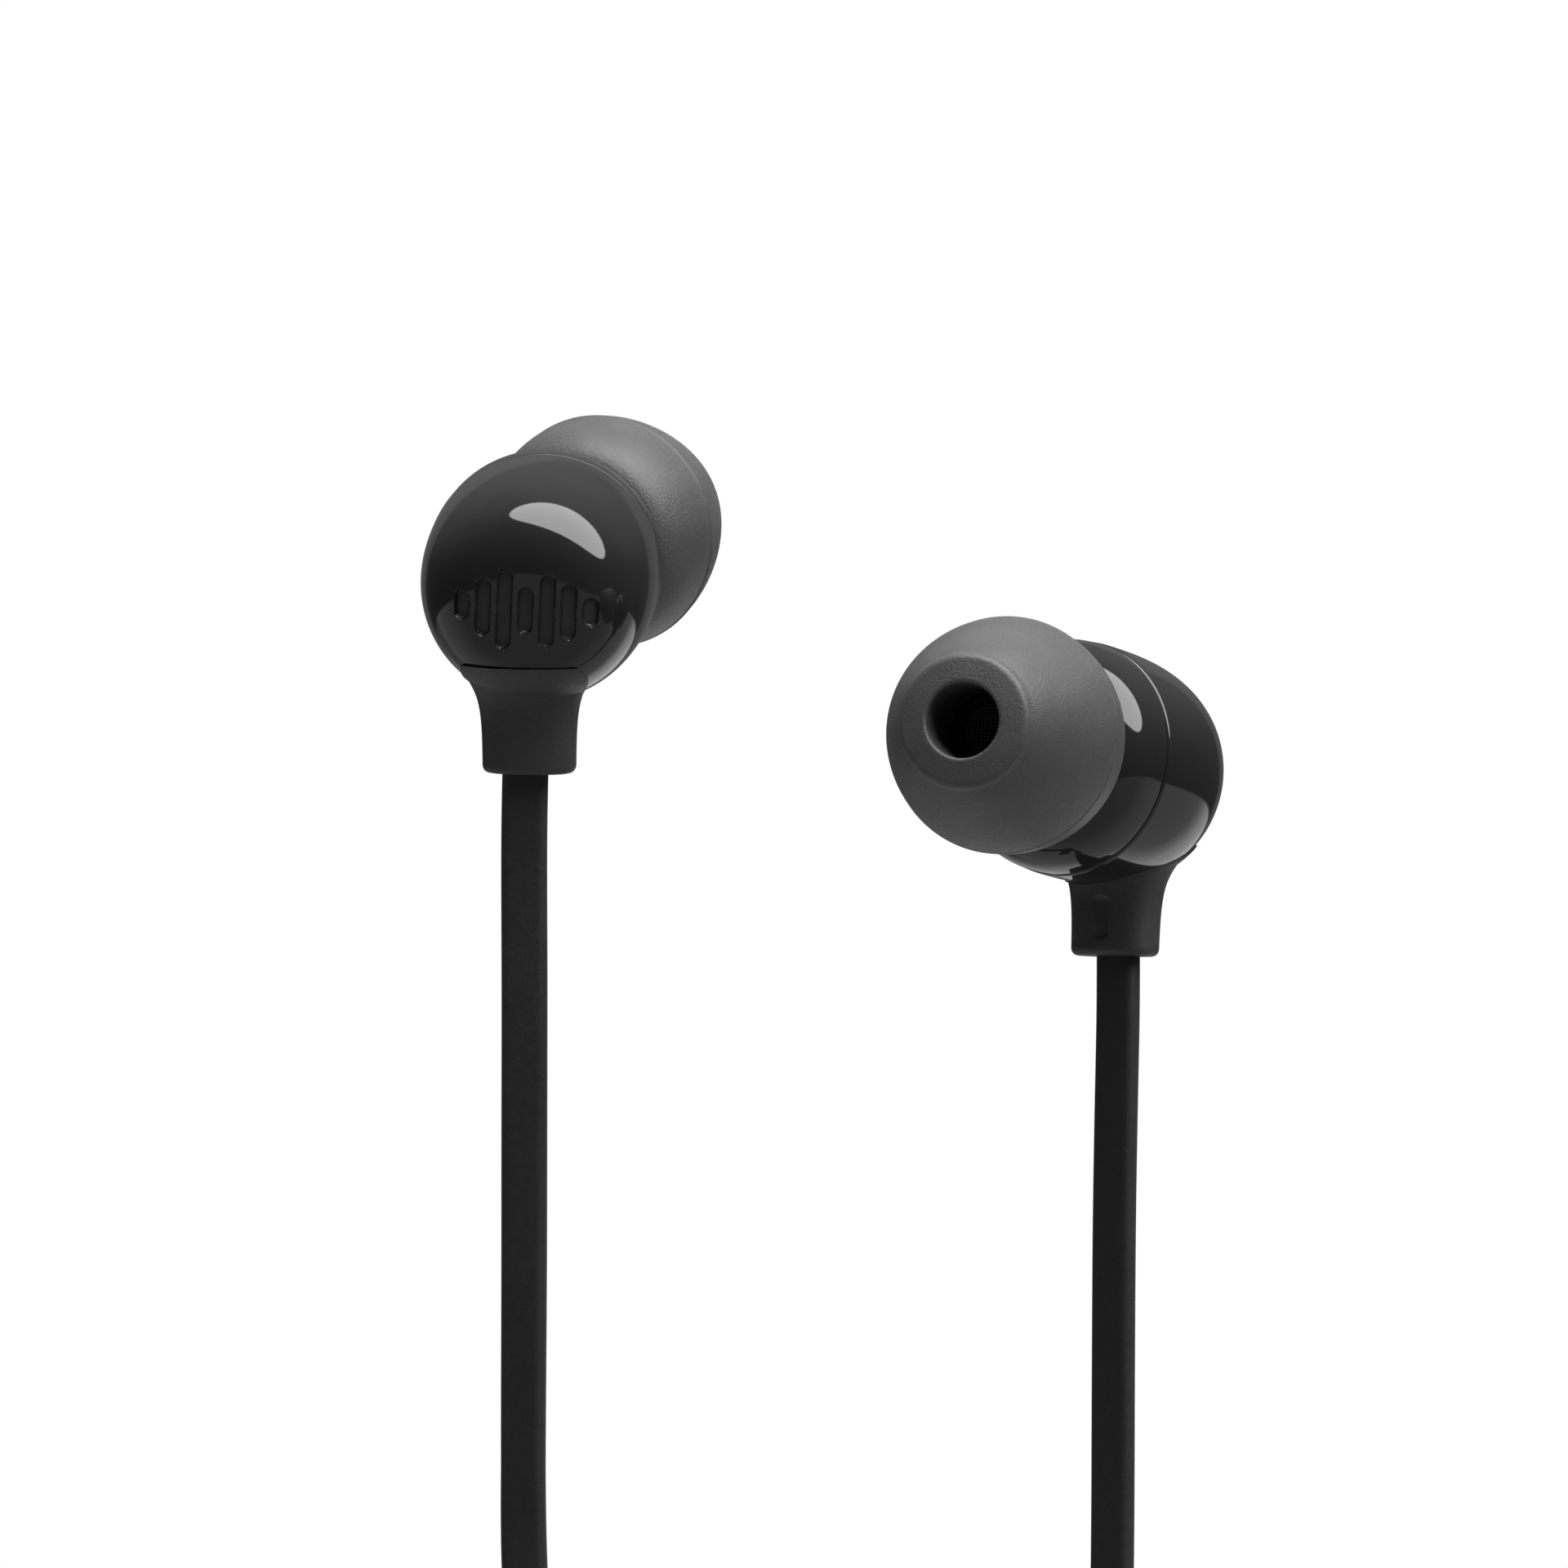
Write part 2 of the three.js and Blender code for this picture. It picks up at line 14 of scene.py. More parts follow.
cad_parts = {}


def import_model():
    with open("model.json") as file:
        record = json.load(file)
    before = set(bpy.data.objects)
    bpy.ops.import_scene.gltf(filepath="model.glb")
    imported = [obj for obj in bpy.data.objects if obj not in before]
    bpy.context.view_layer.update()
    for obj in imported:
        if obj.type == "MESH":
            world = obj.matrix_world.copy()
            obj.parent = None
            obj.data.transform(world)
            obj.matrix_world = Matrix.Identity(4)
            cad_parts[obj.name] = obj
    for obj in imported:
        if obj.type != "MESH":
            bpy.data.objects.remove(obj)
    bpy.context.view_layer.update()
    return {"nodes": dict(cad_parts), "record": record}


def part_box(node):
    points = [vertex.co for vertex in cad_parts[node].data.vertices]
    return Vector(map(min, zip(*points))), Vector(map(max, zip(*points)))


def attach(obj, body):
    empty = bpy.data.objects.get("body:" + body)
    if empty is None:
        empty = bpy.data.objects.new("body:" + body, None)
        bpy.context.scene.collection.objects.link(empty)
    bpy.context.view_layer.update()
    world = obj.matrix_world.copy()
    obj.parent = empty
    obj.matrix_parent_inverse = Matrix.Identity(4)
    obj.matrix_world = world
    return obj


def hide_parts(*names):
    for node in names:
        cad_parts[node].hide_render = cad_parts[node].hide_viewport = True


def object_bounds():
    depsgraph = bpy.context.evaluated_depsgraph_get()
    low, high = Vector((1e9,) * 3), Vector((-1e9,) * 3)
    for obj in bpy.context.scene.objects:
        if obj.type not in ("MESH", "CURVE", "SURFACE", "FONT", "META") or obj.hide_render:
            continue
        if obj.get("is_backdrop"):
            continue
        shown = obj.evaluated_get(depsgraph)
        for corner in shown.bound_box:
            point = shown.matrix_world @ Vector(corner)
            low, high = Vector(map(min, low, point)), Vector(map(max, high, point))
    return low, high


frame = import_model()
scene = bpy.context.scene
MM = 0.001

# ---- driving dimensions: the CAD's, but for slimmer reliefs and a thicker remote wall ----
HOUSING_RADIUS = 6.2  # at the seam between the two shells
REAR_DEPTH = 8.9
REAR_POWER = 3.1  # how square the rear dome is
FRONT_DEPTH = 4.5
FRONT_POWER = 2.6
WALL = 0.9
HOUSING_PITCH = 6.3  # degrees that the housing's axis rises towards the nozzle
NOZZLE_YAW = 17  # degrees that the nozzle turns towards the ear canal
NOZZLE_RISE = 2.2
NOZZLE_START = (0, 0.74, 0.22)
NOZZLE_LENGTH = 12.1
NOZZLE_RADIUS = 2.4
NOZZLE_BORE = 1.6
NECK_FOOT = 4.1
NECK_RADIUS = 3.3
NECK_END = 7.2
BARB_BACK = 1.8  # from the nozzle's end to the rear of its barb
BARB_RISE = 0.3
TIP_AT = 5.45  # from the seam plane to the tip's rear mouth, along the nozzle
TIP_RADIUS = 6.15
TIP_LINE = 4.4  # from the rear mouth to the parting line
TIP_LENGTH = 11.9
TIP_FLANK = 6.9  # from the parting line to the end of the domed flank
TIP_FRONT = 3.5  # radius where the flat front face starts
TIP_MOUTH = 4.3
TIP_SKIN = 0.65
TIP_HOLE = 1.95
SLEEVE_RADIUS = 2.8
SLEEVE_FROM = 3.05
SLEEVE_TO = 7.2
TIP_ASKEW = {"left": 0, "right": -1.5}  # degrees that a tip sits off its nozzle's axis
RELIEF_BACK = 4.4  # the cord's axis behind the seam plane
RELIEF_TOP = -4.4
RELIEF_ROUND = -9.7  # where its foot starts to round in
RELIEF_END = 10.1
RELIEF_WIDTH = 4.88
RELIEF_DEPTH = 2.8
RELIEF_PIVOT = -6.1  # the height that it leans about
RELIEF_LEAN = -3  # degrees
COLLAR_GROWTH = 0.1  # how proud the collar stands of the housing
COLLAR_TOP = -4.17
COLLAR_FOOT = -7.5
COLLAR_BACK = -8.6
COLLAR_AHEAD = -1.9
SIDE_MARK_AT = -8.15
SIDE_MARK_DEPTH = 0.16
SIDE_MARKS = {"left": (0,), "right": (-0.75, 0.75)}  # where the sunk bars stand

BUDS = {
    "left": {"centre": (13.05, -2.8, -4.95), "turn": (-124, -4.3, -0.7), "inward": 1},
    "right": {"centre": (-14.3, 2.6, 4.95), "turn": (84.9, 8.8, 3), "inward": -1},
}

CORD_WIDTH = 2.4
CORD_THICK = 1.1
COLUMN = 2.5  # from turn to turn, side by side
LAYER = 1.25  # from turn to turn, one over the other
FOLD = 7.3  # smallest radius at the folds
HANK_Y = 2
RUN_TOP = -104
RUN = 44  # straight part of the hank's turns
MEAN_FOLD = 9.4  # sets how much of a turn its fold takes
TAIL_X = -5.3
TAIL_Y = HANK_Y - FOLD - LAYER
PLUG_TOP = -162
PLUG_RADIUS = 1.75
TIE_HEIGHT = 8
TIE_THICK = 1.0
SPLITTER = (3.1, HANK_Y + FOLD - LAYER / 2 - 1.9, RUN_TOP - RUN / 2)
SPLITTER_SIZE = (6.4, 3.2, 15)
REMOTE_AT = (-7.6, -3.4, -71.7)
REMOTE_UP = (-14, 5.9, 36.3)
REMOTE_SIZE = (6, 4.2, 31)
REMOTE_WALL = 0.8
REMOTE_SEAM = 0.25  # behind the remote's middle
SLEEVE_STUB = 3.2  # the soft sleeves at the remote's ends
MIC_AT = 10.5  # above the remote's middle
BUTTON_SIZE = (3, 9)


# ---- camera ----
def make_camera():
    """A long lens level with the buds, so that their cords stay upright."""
    lens, sensor = 600, 36
    view = 81.7  # what the frame spans at the buds
    away = view * lens / sensor
    data = bpy.data.cameras.new("camera")
    data.lens = lens
    data.sensor_width = sensor
    data.clip_start = 0.1
    data.clip_end = 20
    camera = bpy.data.objects.new("camera", data)
    camera.location = Vector((-1.78, -away, -6.3)) * MM
    camera.rotation_euler = (math.pi / 2, 0, 0)
    scene.collection.objects.link(camera)
    scene.camera = camera


make_camera()


# ---- mesh helpers ----
def shade(obj, crease):
    """Smooth faces, with a sharp edge where two of them turn by more than crease degrees."""
    obj.data.polygons.foreach_set("use_smooth", [True] * len(obj.data.polygons))
    obj.data.set_sharp_from_angle(angle=math.radians(crease))


def mesh_object(name, points, faces, matrix=None, crease=40):
    """A smooth closed mesh from points in millimetres, placed by matrix, faces outward."""
    points = np.asarray(points, float)
    if matrix is not None:
        matrix = np.array(matrix)
        points = points @ matrix[:3, :3].T + matrix[:3, 3]
    mesh = bpy.data.meshes.new(name)
    mesh.from_pydata((points * MM).tolist(), [], faces)
    work = bmesh.new()
    work.from_mesh(mesh)
    bmesh.ops.recalc_face_normals(work, faces=work.faces)
    work.to_mesh(mesh)
    work.free()
    obj = bpy.data.objects.new(name, mesh)
    shade(obj, crease)
    scene.collection.objects.link(obj)
    return obj


def skin(rings, joined=False):
    """Points and faces through rings of points. A ring of one point is a pole; joined closes
    the last ring to the first."""
    starts = np.cumsum([0] + [len(r) for r in rings])
    faces = []
    pairs = [(i, i + 1) for i in range(len(rings) - 1)]
    if joined:
        pairs.append((len(rings) - 1, 0))
    for i, k in pairs:
        a, b = starts[i], starts[k]
        count = max(len(rings[i]), len(rings[k]))
        for j in range(count):
            n = (j + 1) % count
            if len(rings[i]) == 1:
                faces.append((a, b + n, b + j))
            elif len(rings[k]) == 1:
                faces.append((a + j, a + n, b))
            else:
                faces.append((a + j, a + n, b + n, b + j))
    if not joined:
        for i in (0, len(rings) - 1):
            if len(rings[i]) > 1:
                faces.append(tuple(range(starts[i], starts[i] + len(rings[i]))))
    return np.concatenate(rings), [tuple(int(v) for v in f) for f in faces]


def revolved(profile, sides=96):
    """Rings about +X through a profile of (radius, distance) points."""
    angle = np.arange(sides) * 2 * math.pi / sides
    rings = []
    for r, s in profile:
        if r < 1e-6:
            rings.append(np.array([[s, 0, 0]]))
        else:
            rings.append(np.stack([np.full(sides, s), r * np.cos(angle), r * np.sin(angle)], 1))
    return rings


def turned(name, profile, matrix=None, sides=96, joined=False, crease=40):
    """A mesh turned about +X from a profile of (radius, distance) points."""
    points, faces = skin(revolved(profile, sides), joined)
    return mesh_object(name, points, faces, matrix, crease)


def filleted(corners, closed=False, steps=5):
    """A polyline from (x, y, fillet) corners; a fillet rounds its corner that far to each side."""
    out = []
    count = len(corners)
    for i, (x, y, fillet) in enumerate(corners):
        here = np.array([x, y], float)
        ends = not closed and i in (0, count - 1)
        if fillet == 0 or ends:
            out.append(here)
            continue
        before = np.array(corners[i - 1][:2], float) - here
        after = np.array(corners[(i + 1) % count][:2], float) - here
        a = here + before / np.linalg.norm(before) * fillet
        b = here + after / np.linalg.norm(after) * fillet
        for t in np.linspace(0, 1, steps + 1):
            out.append(a * (1 - t) ** 2 + 2 * here * t * (1 - t) + b * t ** 2)
    return np.array(out)


def spaced(line, gap):
    """The same line with points an even distance apart."""
    line = np.asarray(line, float)
    along = np.concatenate([[0], np.cumsum(np.linalg.norm(np.diff(line, axis=0), axis=1))])
    count = max(2, int(round(along[-1] / gap)) + 1)
    at = np.linspace(0, along[-1], count)
    return np.stack([np.interp(at, along, line[:, k]) for k in range(line.shape[1])], 1)


def rounded(width, height, radius, steps=8, flat=4):
    """A rounded rectangle's outline, counter-clockwise, with points along its flats too."""
    out = []
    for quarter, (sx, sy) in enumerate([(1, 1), (-1, 1), (-1, -1), (1, -1)]):
        for i in range(steps + 1):
            angle = (quarter + i / steps) * math.pi / 2
            out.append((sx * (width / 2 - radius) + radius * math.cos(angle),
                        sy * (height / 2 - radius) + radius * math.sin(angle)))
    out = np.array(out)
    full = []
    for i, point in enumerate(out):
        nearby = out[(i + 1) % len(out)]
        full.append(point)
        if (i + 1) % (steps + 1) == 0:
            full += [point + (nearby - point) * k / flat for k in range(1, flat)]
    return np.array(full)


def smooth(x, low, high):
    """0 below low, 1 above high, and a smooth step between."""
    t = np.clip((np.asarray(x, float) - low) / (high - low), 0, 1)
    return t * t * (3 - 2 * t)


def catmull(points, steps=12):
    """A smooth curve through given points."""
    p = np.asarray(points, float)
    p = np.vstack([2 * p[0] - p[1], p, 2 * p[-1] - p[-2]])
    out = []
    for i in range(1, len(p) - 2):
        for t in np.arange(steps) / steps:
            a = 2 * p[i]
            b = p[i + 1] - p[i - 1]
            c = 2 * p[i - 1] - 5 * p[i] + 4 * p[i + 1] - p[i + 2]
            d = -p[i - 1] + 3 * p[i] - 3 * p[i + 1] + p[i + 2]
            out.append((a + b * t + c * t ** 2 + d * t ** 3) / 2)
    return np.array(out + [p[-2]])


def eased(line, passes):
    """The line with its kinks taken out; its ends stay."""
    line = line.copy()
    for _ in range(passes):
        line[1:-1] = (line[:-2] + 2 * line[1:-1] + line[2:]) / 4
    return line


# ---- materials ----
class Nodes:
    """A node material being wired up, with one Principled shader."""

    def __init__(self, name):
        self.material = bpy.data.materials.new(name)
        self.material.use_nodes = True
        self.tree = self.material.node_tree
        self.shader = self.tree.nodes["Principled BSDF"]
        self.place = self.tree.nodes.new("ShaderNodeTexCoord").outputs["Object"]
        self.height = None

    def link(self, start, end):
        self.tree.links.new(start, end)

    def put(self, values):
        for key, value in values.items():
            self.shader.inputs[key].default_value = value

    def noise(self, size, detail=2, stretch=(1, 1, 1)):
        """Grey noise whose grains are about size millimetres."""
        scaled = self.tree.nodes.new("ShaderNodeMapping")
        scaled.inputs["Scale"].default_value = [k / (size * MM) for k in stretch]
        self.link(self.place, scaled.inputs["Vector"])
        texture = self.tree.nodes.new("ShaderNodeTexNoise")
        texture.inputs["Scale"].default_value = 1
        texture.inputs["Detail"].default_value = detail
        self.link(scaled.outputs[0], texture.inputs["Vector"])
        return texture.outputs["Fac"]

    def ranged(self, value, low, high, start=0.3, end=0.7):
        """value, from start to end, becomes low to high."""
        node = self.tree.nodes.new("ShaderNodeMapRange")
        for key, number in (("From Min", start), ("From Max", end), ("To Min", low), ("To Max", high)):
            node.inputs[key].default_value = number
        self.link(value, node.inputs["Value"])
        return node.outputs["Result"]

    def blended(self, factor, a, b):
        """Colour a where factor is 0, b where it is 1."""
        node = self.tree.nodes.new("ShaderNodeMix")
        node.data_type = "RGBA"
        self.link(factor, node.inputs["Factor"])
        node.inputs["A"].default_value = (*a, 1)
        node.inputs["B"].default_value = (*b, 1)
        return node.outputs["Result"]

    def bump(self, value, strength, depth):
        """Adds relief of about depth millimetres; bumps stack."""
        node = self.tree.nodes.new("ShaderNodeBump")
        node.inputs["Strength"].default_value = strength
        node.inputs["Distance"].default_value = depth * MM
        self.link(value, node.inputs["Height"])
        if self.height is not None:
            self.link(self.height, node.inputs["Normal"])
        self.height = node.outputs["Normal"]
        self.link(self.height, self.shader.inputs["Normal"])


def grey(value):
    return (value, value, value * 1.02)


def gloss_material(name, dark, light, rough):
    """Moulded gloss: soft orange peel and hairline rub marks, and matte where it is engraved."""
    m = Nodes(name)
    tone = m.ranged(m.noise(1.4, 4), 0, 1)
    m.link(m.blended(tone, grey(dark), grey(light)), m.shader.inputs["Base Color"])
    engraved = m.tree.nodes.new("ShaderNodeAttribute")
    engraved.attribute_name = "engraved"
    matte = m.tree.nodes.new("ShaderNodeMath")
    matte.operation = "MULTIPLY_ADD"
    matte.inputs[1].default_value = 0.45
    m.link(engraved.outputs["Fac"], matte.inputs[0])
    m.link(m.ranged(m.noise(0.5, 5, (1, 1, 6)), rough * 0.8, rough * 1.3), matte.inputs[2])
    m.link(matte.outputs[0], m.shader.inputs["Roughness"])
    m.put({"IOR": 1.5, "Specular IOR Level": 0.5})
    m.bump(m.noise(1.3, 1), 0.1, 0.006)
    m.bump(m.noise(0.07, 2), 0.05, 0.002)
    return m.material


def grained_material(name, dark, light, rough, grain=0.13, depth=0.02):
    """Moulded elastomer or plastic with a fine matte grain."""
    m = Nodes(name)
    tone = m.ranged(m.noise(2.5, 3), 0, 1)
    m.link(m.blended(tone, grey(dark), grey(light)), m.shader.inputs["Base Color"])
    m.link(m.ranged(m.noise(0.3, 4), rough * 0.88, min(1, rough * 1.12)), m.shader.inputs["Roughness"])
    m.put({"Specular IOR Level": 0.5})
    m.bump(m.noise(grain, 2), 0.6, depth)
    m.bump(m.noise(1.1, 2), 0.3, depth)
    return m.material


def silicone_material(name):
    """Dark grey silicone: satin, slightly cloudy, thin enough to let light through."""
    m = Nodes(name)
    tone = m.ranged(m.noise(1.8, 3), 0, 1)
    m.link(m.blended(tone, grey(0.047), grey(0.056)), m.shader.inputs["Base Color"])
    m.link(m.ranged(m.noise(0.25, 3), 0.44, 0.54), m.shader.inputs["Roughness"])
    m.put({"Subsurface Weight": 0.3, "Subsurface Scale": 0.4 * MM, "Subsurface Radius": (1, 1, 1),
           "Specular IOR Level": 0.5})
    m.bump(m.noise(0.12, 2), 0.9, 0.035)
    return m.material


def cord_material(name):
    """Extruded flat jacket: matte, with a fine grain and faint drawing lines along it."""
    m = Nodes(name)
    tone = m.ranged(m.noise(3, 3), 0, 1)
    m.link(m.blended(tone, grey(0.007), grey(0.0095)), m.shader.inputs["Base Color"])
    m.link(m.ranged(m.noise(0.4, 4), 0.52, 0.66), m.shader.inputs["Roughness"])
    m.put({"Specular IOR Level": 0.45, "Sheen Weight": 0.05})
    m.bump(m.noise(0.1, 3), 0.5, 0.012)
    m.bump(m.noise(0.35, 2, (3, 3, 0.2)), 0.3, 0.01)
    return m.material


def metal_material(name, colour, rough, wear=0.25):
    """Plated or stamped metal with turning marks and a duller bloom."""
    m = Nodes(name)
    duller = tuple(c * (1 - wear) for c in colour)
    m.link(m.blended(m.ranged(m.noise(0.8, 4), 0, 1), colour, duller), m.shader.inputs["Base Color"])
    m.link(m.ranged(m.noise(0.3, 4, (1, 1, 5)), rough * 0.7, rough * 1.5), m.shader.inputs["Roughness"])
    m.put({"Metallic": 1})
    m.bump(m.noise(0.06, 2, (0.3, 0.3, 3)), 0.15, 0.006)
    return m.material


def mesh_material(name):
    """Woven wire cloth: fine crossing wires, with painted shade in the holes between them."""
    m = Nodes(name)
    height = None
    for axis in ("X", "Z"):
        wave = m.tree.nodes.new("ShaderNodeTexWave")
        wave.bands_direction = axis
        wave.inputs["Scale"].default_value = 1 / (0.6 * MM)
        m.link(m.place, wave.inputs["Vector"])
        if height is None:
            height = wave.outputs["Fac"]
            continue
        join = m.tree.nodes.new("ShaderNodeMath")
        join.operation = "MAXIMUM"
        m.link(height, join.inputs[0])
        m.link(wave.outputs["Fac"], join.inputs[1])
        height = join.outputs[0]
    wires = m.ranged(height, 0, 1, 0.5, 0.9)
    # the wires' grey is their own colour; the near-black between them is painted shade in the holes
    m.link(m.blended(wires, grey(0.01), grey(0.16)), m.shader.inputs["Base Color"])
    m.put({"Metallic": 0.8, "Roughness": 0.5})
    m.bump(height, 1, 0.05)
    return m.material


def film_material(name):
    """Thin polymer film with a faint ripple."""
    m = Nodes(name)
    m.link(m.blended(m.ranged(m.noise(0.6, 2), 0, 1), (0.6, 0.57, 0.48), (0.72, 0.69, 0.6)),
           m.shader.inputs["Base Color"])
    m.link(m.ranged(m.noise(0.3, 2), 0.25, 0.4), m.shader.inputs["Roughness"])
    m.bump(m.noise(0.5, 1), 0.4, 0.03)
    return m.material


def board_material(name):
    """Solder mask with paler tracks under it."""
    m = Nodes(name)
    tracks = m.ranged(m.noise(0.7, 0, (4, 4, 0.5)), 0, 1, 0.48, 0.52)
    m.link(m.blended(tracks, (0.01, 0.09, 0.045), (0.03, 0.17, 0.09)), m.shader.inputs["Base Color"])
    m.link(m.ranged(m.noise(0.2, 3), 0.25, 0.4), m.shader.inputs["Roughness"])
    m.bump(tracks, 0.4, 0.03)
    return m.material


MATERIALS = {
    "housing_gloss": gloss_material("housing_gloss", 0.011, 0.013, 0.06),
    "tip_silicone": silicone_material("tip_silicone"),
    "relief_rubber": grained_material("relief_rubber", 0.021, 0.028, 0.55, 0.12, 0.02),
    "cord_jacket": cord_material("cord_jacket"),
    "nozzle_mesh": mesh_material("nozzle_mesh"),
    "driver_steel": metal_material("driver_steel", (0.6, 0.61, 0.63), 0.3),
    "driver_plastic": grained_material("driver_plastic", 0.02, 0.03, 0.5),
    "diaphragm_film": film_material("diaphragm_film"),
    "coil_copper": metal_material("coil_copper", (0.7, 0.32, 0.16), 0.3),
    "magnet_nickel": metal_material("magnet_nickel", (0.62, 0.61, 0.58), 0.18),
    "circuit_board": board_material("circuit_board"),
    "remote_gloss": gloss_material("remote_gloss", 0.011, 0.013, 0.12),
    "remote_matte": grained_material("remote_matte", 0.018, 0.024, 0.5, 0.15, 0.015),
    "button_matte": grained_material("button_matte", 0.024, 0.032, 0.42, 0.1, 0.01),
    "splitter_gloss": gloss_material("splitter_gloss", 0.011, 0.013, 0.14),
    "tie_silicone": grained_material("tie_silicone", 0.03, 0.04, 0.55, 0.3, 0.015),
    "plug_grip_matte": grained_material("plug_grip_matte", 0.016, 0.022, 0.5, 0.14, 0.02),
    "plug_plastic": grained_material("plug_plastic", 0.01, 0.014, 0.35, 0.1, 0.006),
    "plug_gold": metal_material("plug_gold", (0.86, 0.6, 0.22), 0.2, 0.18),
}
BODIES = frame["record"]["behaviour"]["bodies"]
BODY_OF = {node: body for body, nodes in BODIES.items() for node in nodes}
SLOT_OF = {part["node"]: part["material_slot"] for part in frame["record"]["subparts"]}


def fit(obj, node, *more):
    """obj stands for that CAD node: same body, slot and material."""
    obj.data.materials.clear()
    obj.data.materials.append(MATERIALS[SLOT_OF[node]])
    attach(obj, BODY_OF[node])
    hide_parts(node, *more)
    return obj


# ---- cords: the same routes as the CAD, and the hank's turns by a loop ----
LEFT_ROUTE = [
    (15.64, 0.06, -15.56), (15.64, -0.1, -18), (15.55, -0.2, -22), (15.43, -0.15, -29),
    (15.38, -0.05, -37), (15.35, 0, -44.5), (15.25, -0.1, -50), (14.7, -0.5, -56),
    (13.6, -1.3, -63), (12.2, -2.6, -71), (10.5, -4.3, -79), (8.6, -6, -86), (6.7, -7.3, -93.5),
]
RIGHT_ROUTE = [
    (-15.26, -0.14, -5.96), (-15.32, 0.15, -8.5), (-15.32, 0.25, -12), (-15.3, 0.2, -17),
    (-15.31, 0.1, -24), (-15.32, 0, -32), (-15.36, 0, -40), (-15.34, 0, -46),
    (-15.08, -0.2, -50.7), (-14.36, -0.55, -54.16),
    (-10.92, -2, -63.1), (-7.6, -3.4, -71.7), (-4.28, -4.8, -80.3), (-0.83, -6.25, -89.24),
    (0.1, -6.64, -91.6), (1, -7, -93.9),
]
# how the flat jacket turns about its run, in degrees at heights along it
LEFT_TWIST = ((-92, 0), (-66, -34))
RIGHT_TWIST = ((-54, 0), (-42, -24), (-14, -5))
BRANCH_TURNS = 1.5
PAIR_RADIUS = FOLD + 2 * LAYER
TRUNK_RADIUS = FOLD + 0.8 * LAYER
TRUNK_TURNS = 5
ROOTED = 1.2  # how far a cord reaches up inside its strain relief
TURN_STEP = 1 / 60  # of a turn, between the points that shape it
CORD_STEP = 0.6  # between the cord's sections
EASING = 14  # passes that take the kinks out of a route
BRANCH_OFF = 1.25  # from the splitter's middle to a branch


def wound(turn, radius, x):
    """A point on the hank: turn 0 is the top of its front run, going down."""
    part = RUN / (2 * RUN + 2 * math.pi * MEAN_FOLD)
    phase = turn % 1
    rising = phase >= 0.5
    if rising:
        phase -= 0.5
    side = 1 if rising else -1
    if phase < part:
        gone = RUN * phase / part
        z = RUN_TOP - RUN + gone if rising else RUN_TOP - gone
        return (x, HANK_Y + side * radius, z)
    angle = math.pi * (phase - part) / (0.5 - part)
    centre = RUN_TOP if rising else RUN_TOP - RUN
    return (x, HANK_Y + side * radius * math.cos(angle), centre + side * radius * math.sin(angle))


def pair_route(start, x, splitter_x):
    """A branch: from its bud into the hank, one and a half turns inward, then up to the splitter."""
    first, second = np.array(start[0]), np.array(start[1])
    rooted = first + ROOTED * (first - second) / np.linalg.norm(first - second)
    turns = [wound(t, PAIR_RADIUS - LAYER * t, x) for t in np.arange(0.06, BRANCH_TURNS, TURN_STEP)]
    sx, sy, sz = SPLITTER
    end = sz - SPLITTER_SIZE[2] / 2
    inside = [(x, sy + 2.9, RUN_TOP - RUN + 2), (splitter_x, sy, end - 2), (splitter_x, sy, end + 1)]
    return eased(spaced(np.vstack([[rooted], catmull(start), turns, inside]), CORD_STEP), EASING)


def trunk_route():
    """The trunk: from the splitter over the top, out and back in by turns, then to the plug."""
    sx, sy, sz = SPLITTER
    end = sz + SPLITTER_SIZE[2] / 2
    first = [(sx, sy, end - 1), (sx, sy, end + 2), (sx - 0.5, HANK_Y + FOLD - 0.8, RUN_TOP - 3)]
    over = [wound(t, FOLD + 0.9 * smooth(t, 0.9, 1), (sx - 0.6) * (1 - smooth(t, 0.8, 0.96)))
            for t in np.arange(0.82, 1, 0.02)]
    half = TRUNK_TURNS / 2
    turns = [wound(t, TRUNK_RADIUS + LAYER * min(t, TRUNK_TURNS - t),
                   -COLUMN * smooth(t, half - 0.16, half + 0.16))
             for t in np.arange(0.03, TRUNK_TURNS, TURN_STEP)]
    down = [(TAIL_X + 2.6, TAIL_Y, RUN_TOP - 3), (TAIL_X + 1.4, TAIL_Y, RUN_TOP - 9),
            (TAIL_X, TAIL_Y, RUN_TOP - 16), (TAIL_X, TAIL_Y, RUN_TOP - 30),
            (TAIL_X, TAIL_Y, PLUG_TOP - 1.5)]
    return eased(spaced(np.vstack([first, over, turns, down]), CORD_STEP), EASING)


def flat_cord(name, line, headings=((0, 0),)):
    """A flat jacket along the line, its width turned by (height, degrees) and else across the hank."""
    line = np.asarray(line)
    ahead = np.gradient(line, axis=0)
    ahead /= np.linalg.norm(ahead, axis=1)[:, None]
    heading = np.radians(np.interp(line[:, 2], *np.transpose(sorted(headings))))
    across = np.column_stack([np.cos(heading), np.sin(heading), np.zeros(len(line))])
    across -= (across * ahead).sum(axis=1)[:, None] * ahead
    across /= np.linalg.norm(across, axis=1)[:, None]
    out = np.cross(ahead, across)
    section = rounded(CORD_WIDTH, CORD_THICK, 0.45, 5, 3)
    rings = [p + section[:, :1] * a + section[:, 1:] * o for p, a, o in zip(line, across, out)]
    points, faces = skin(rings)
    return mesh_object(name, points, faces)


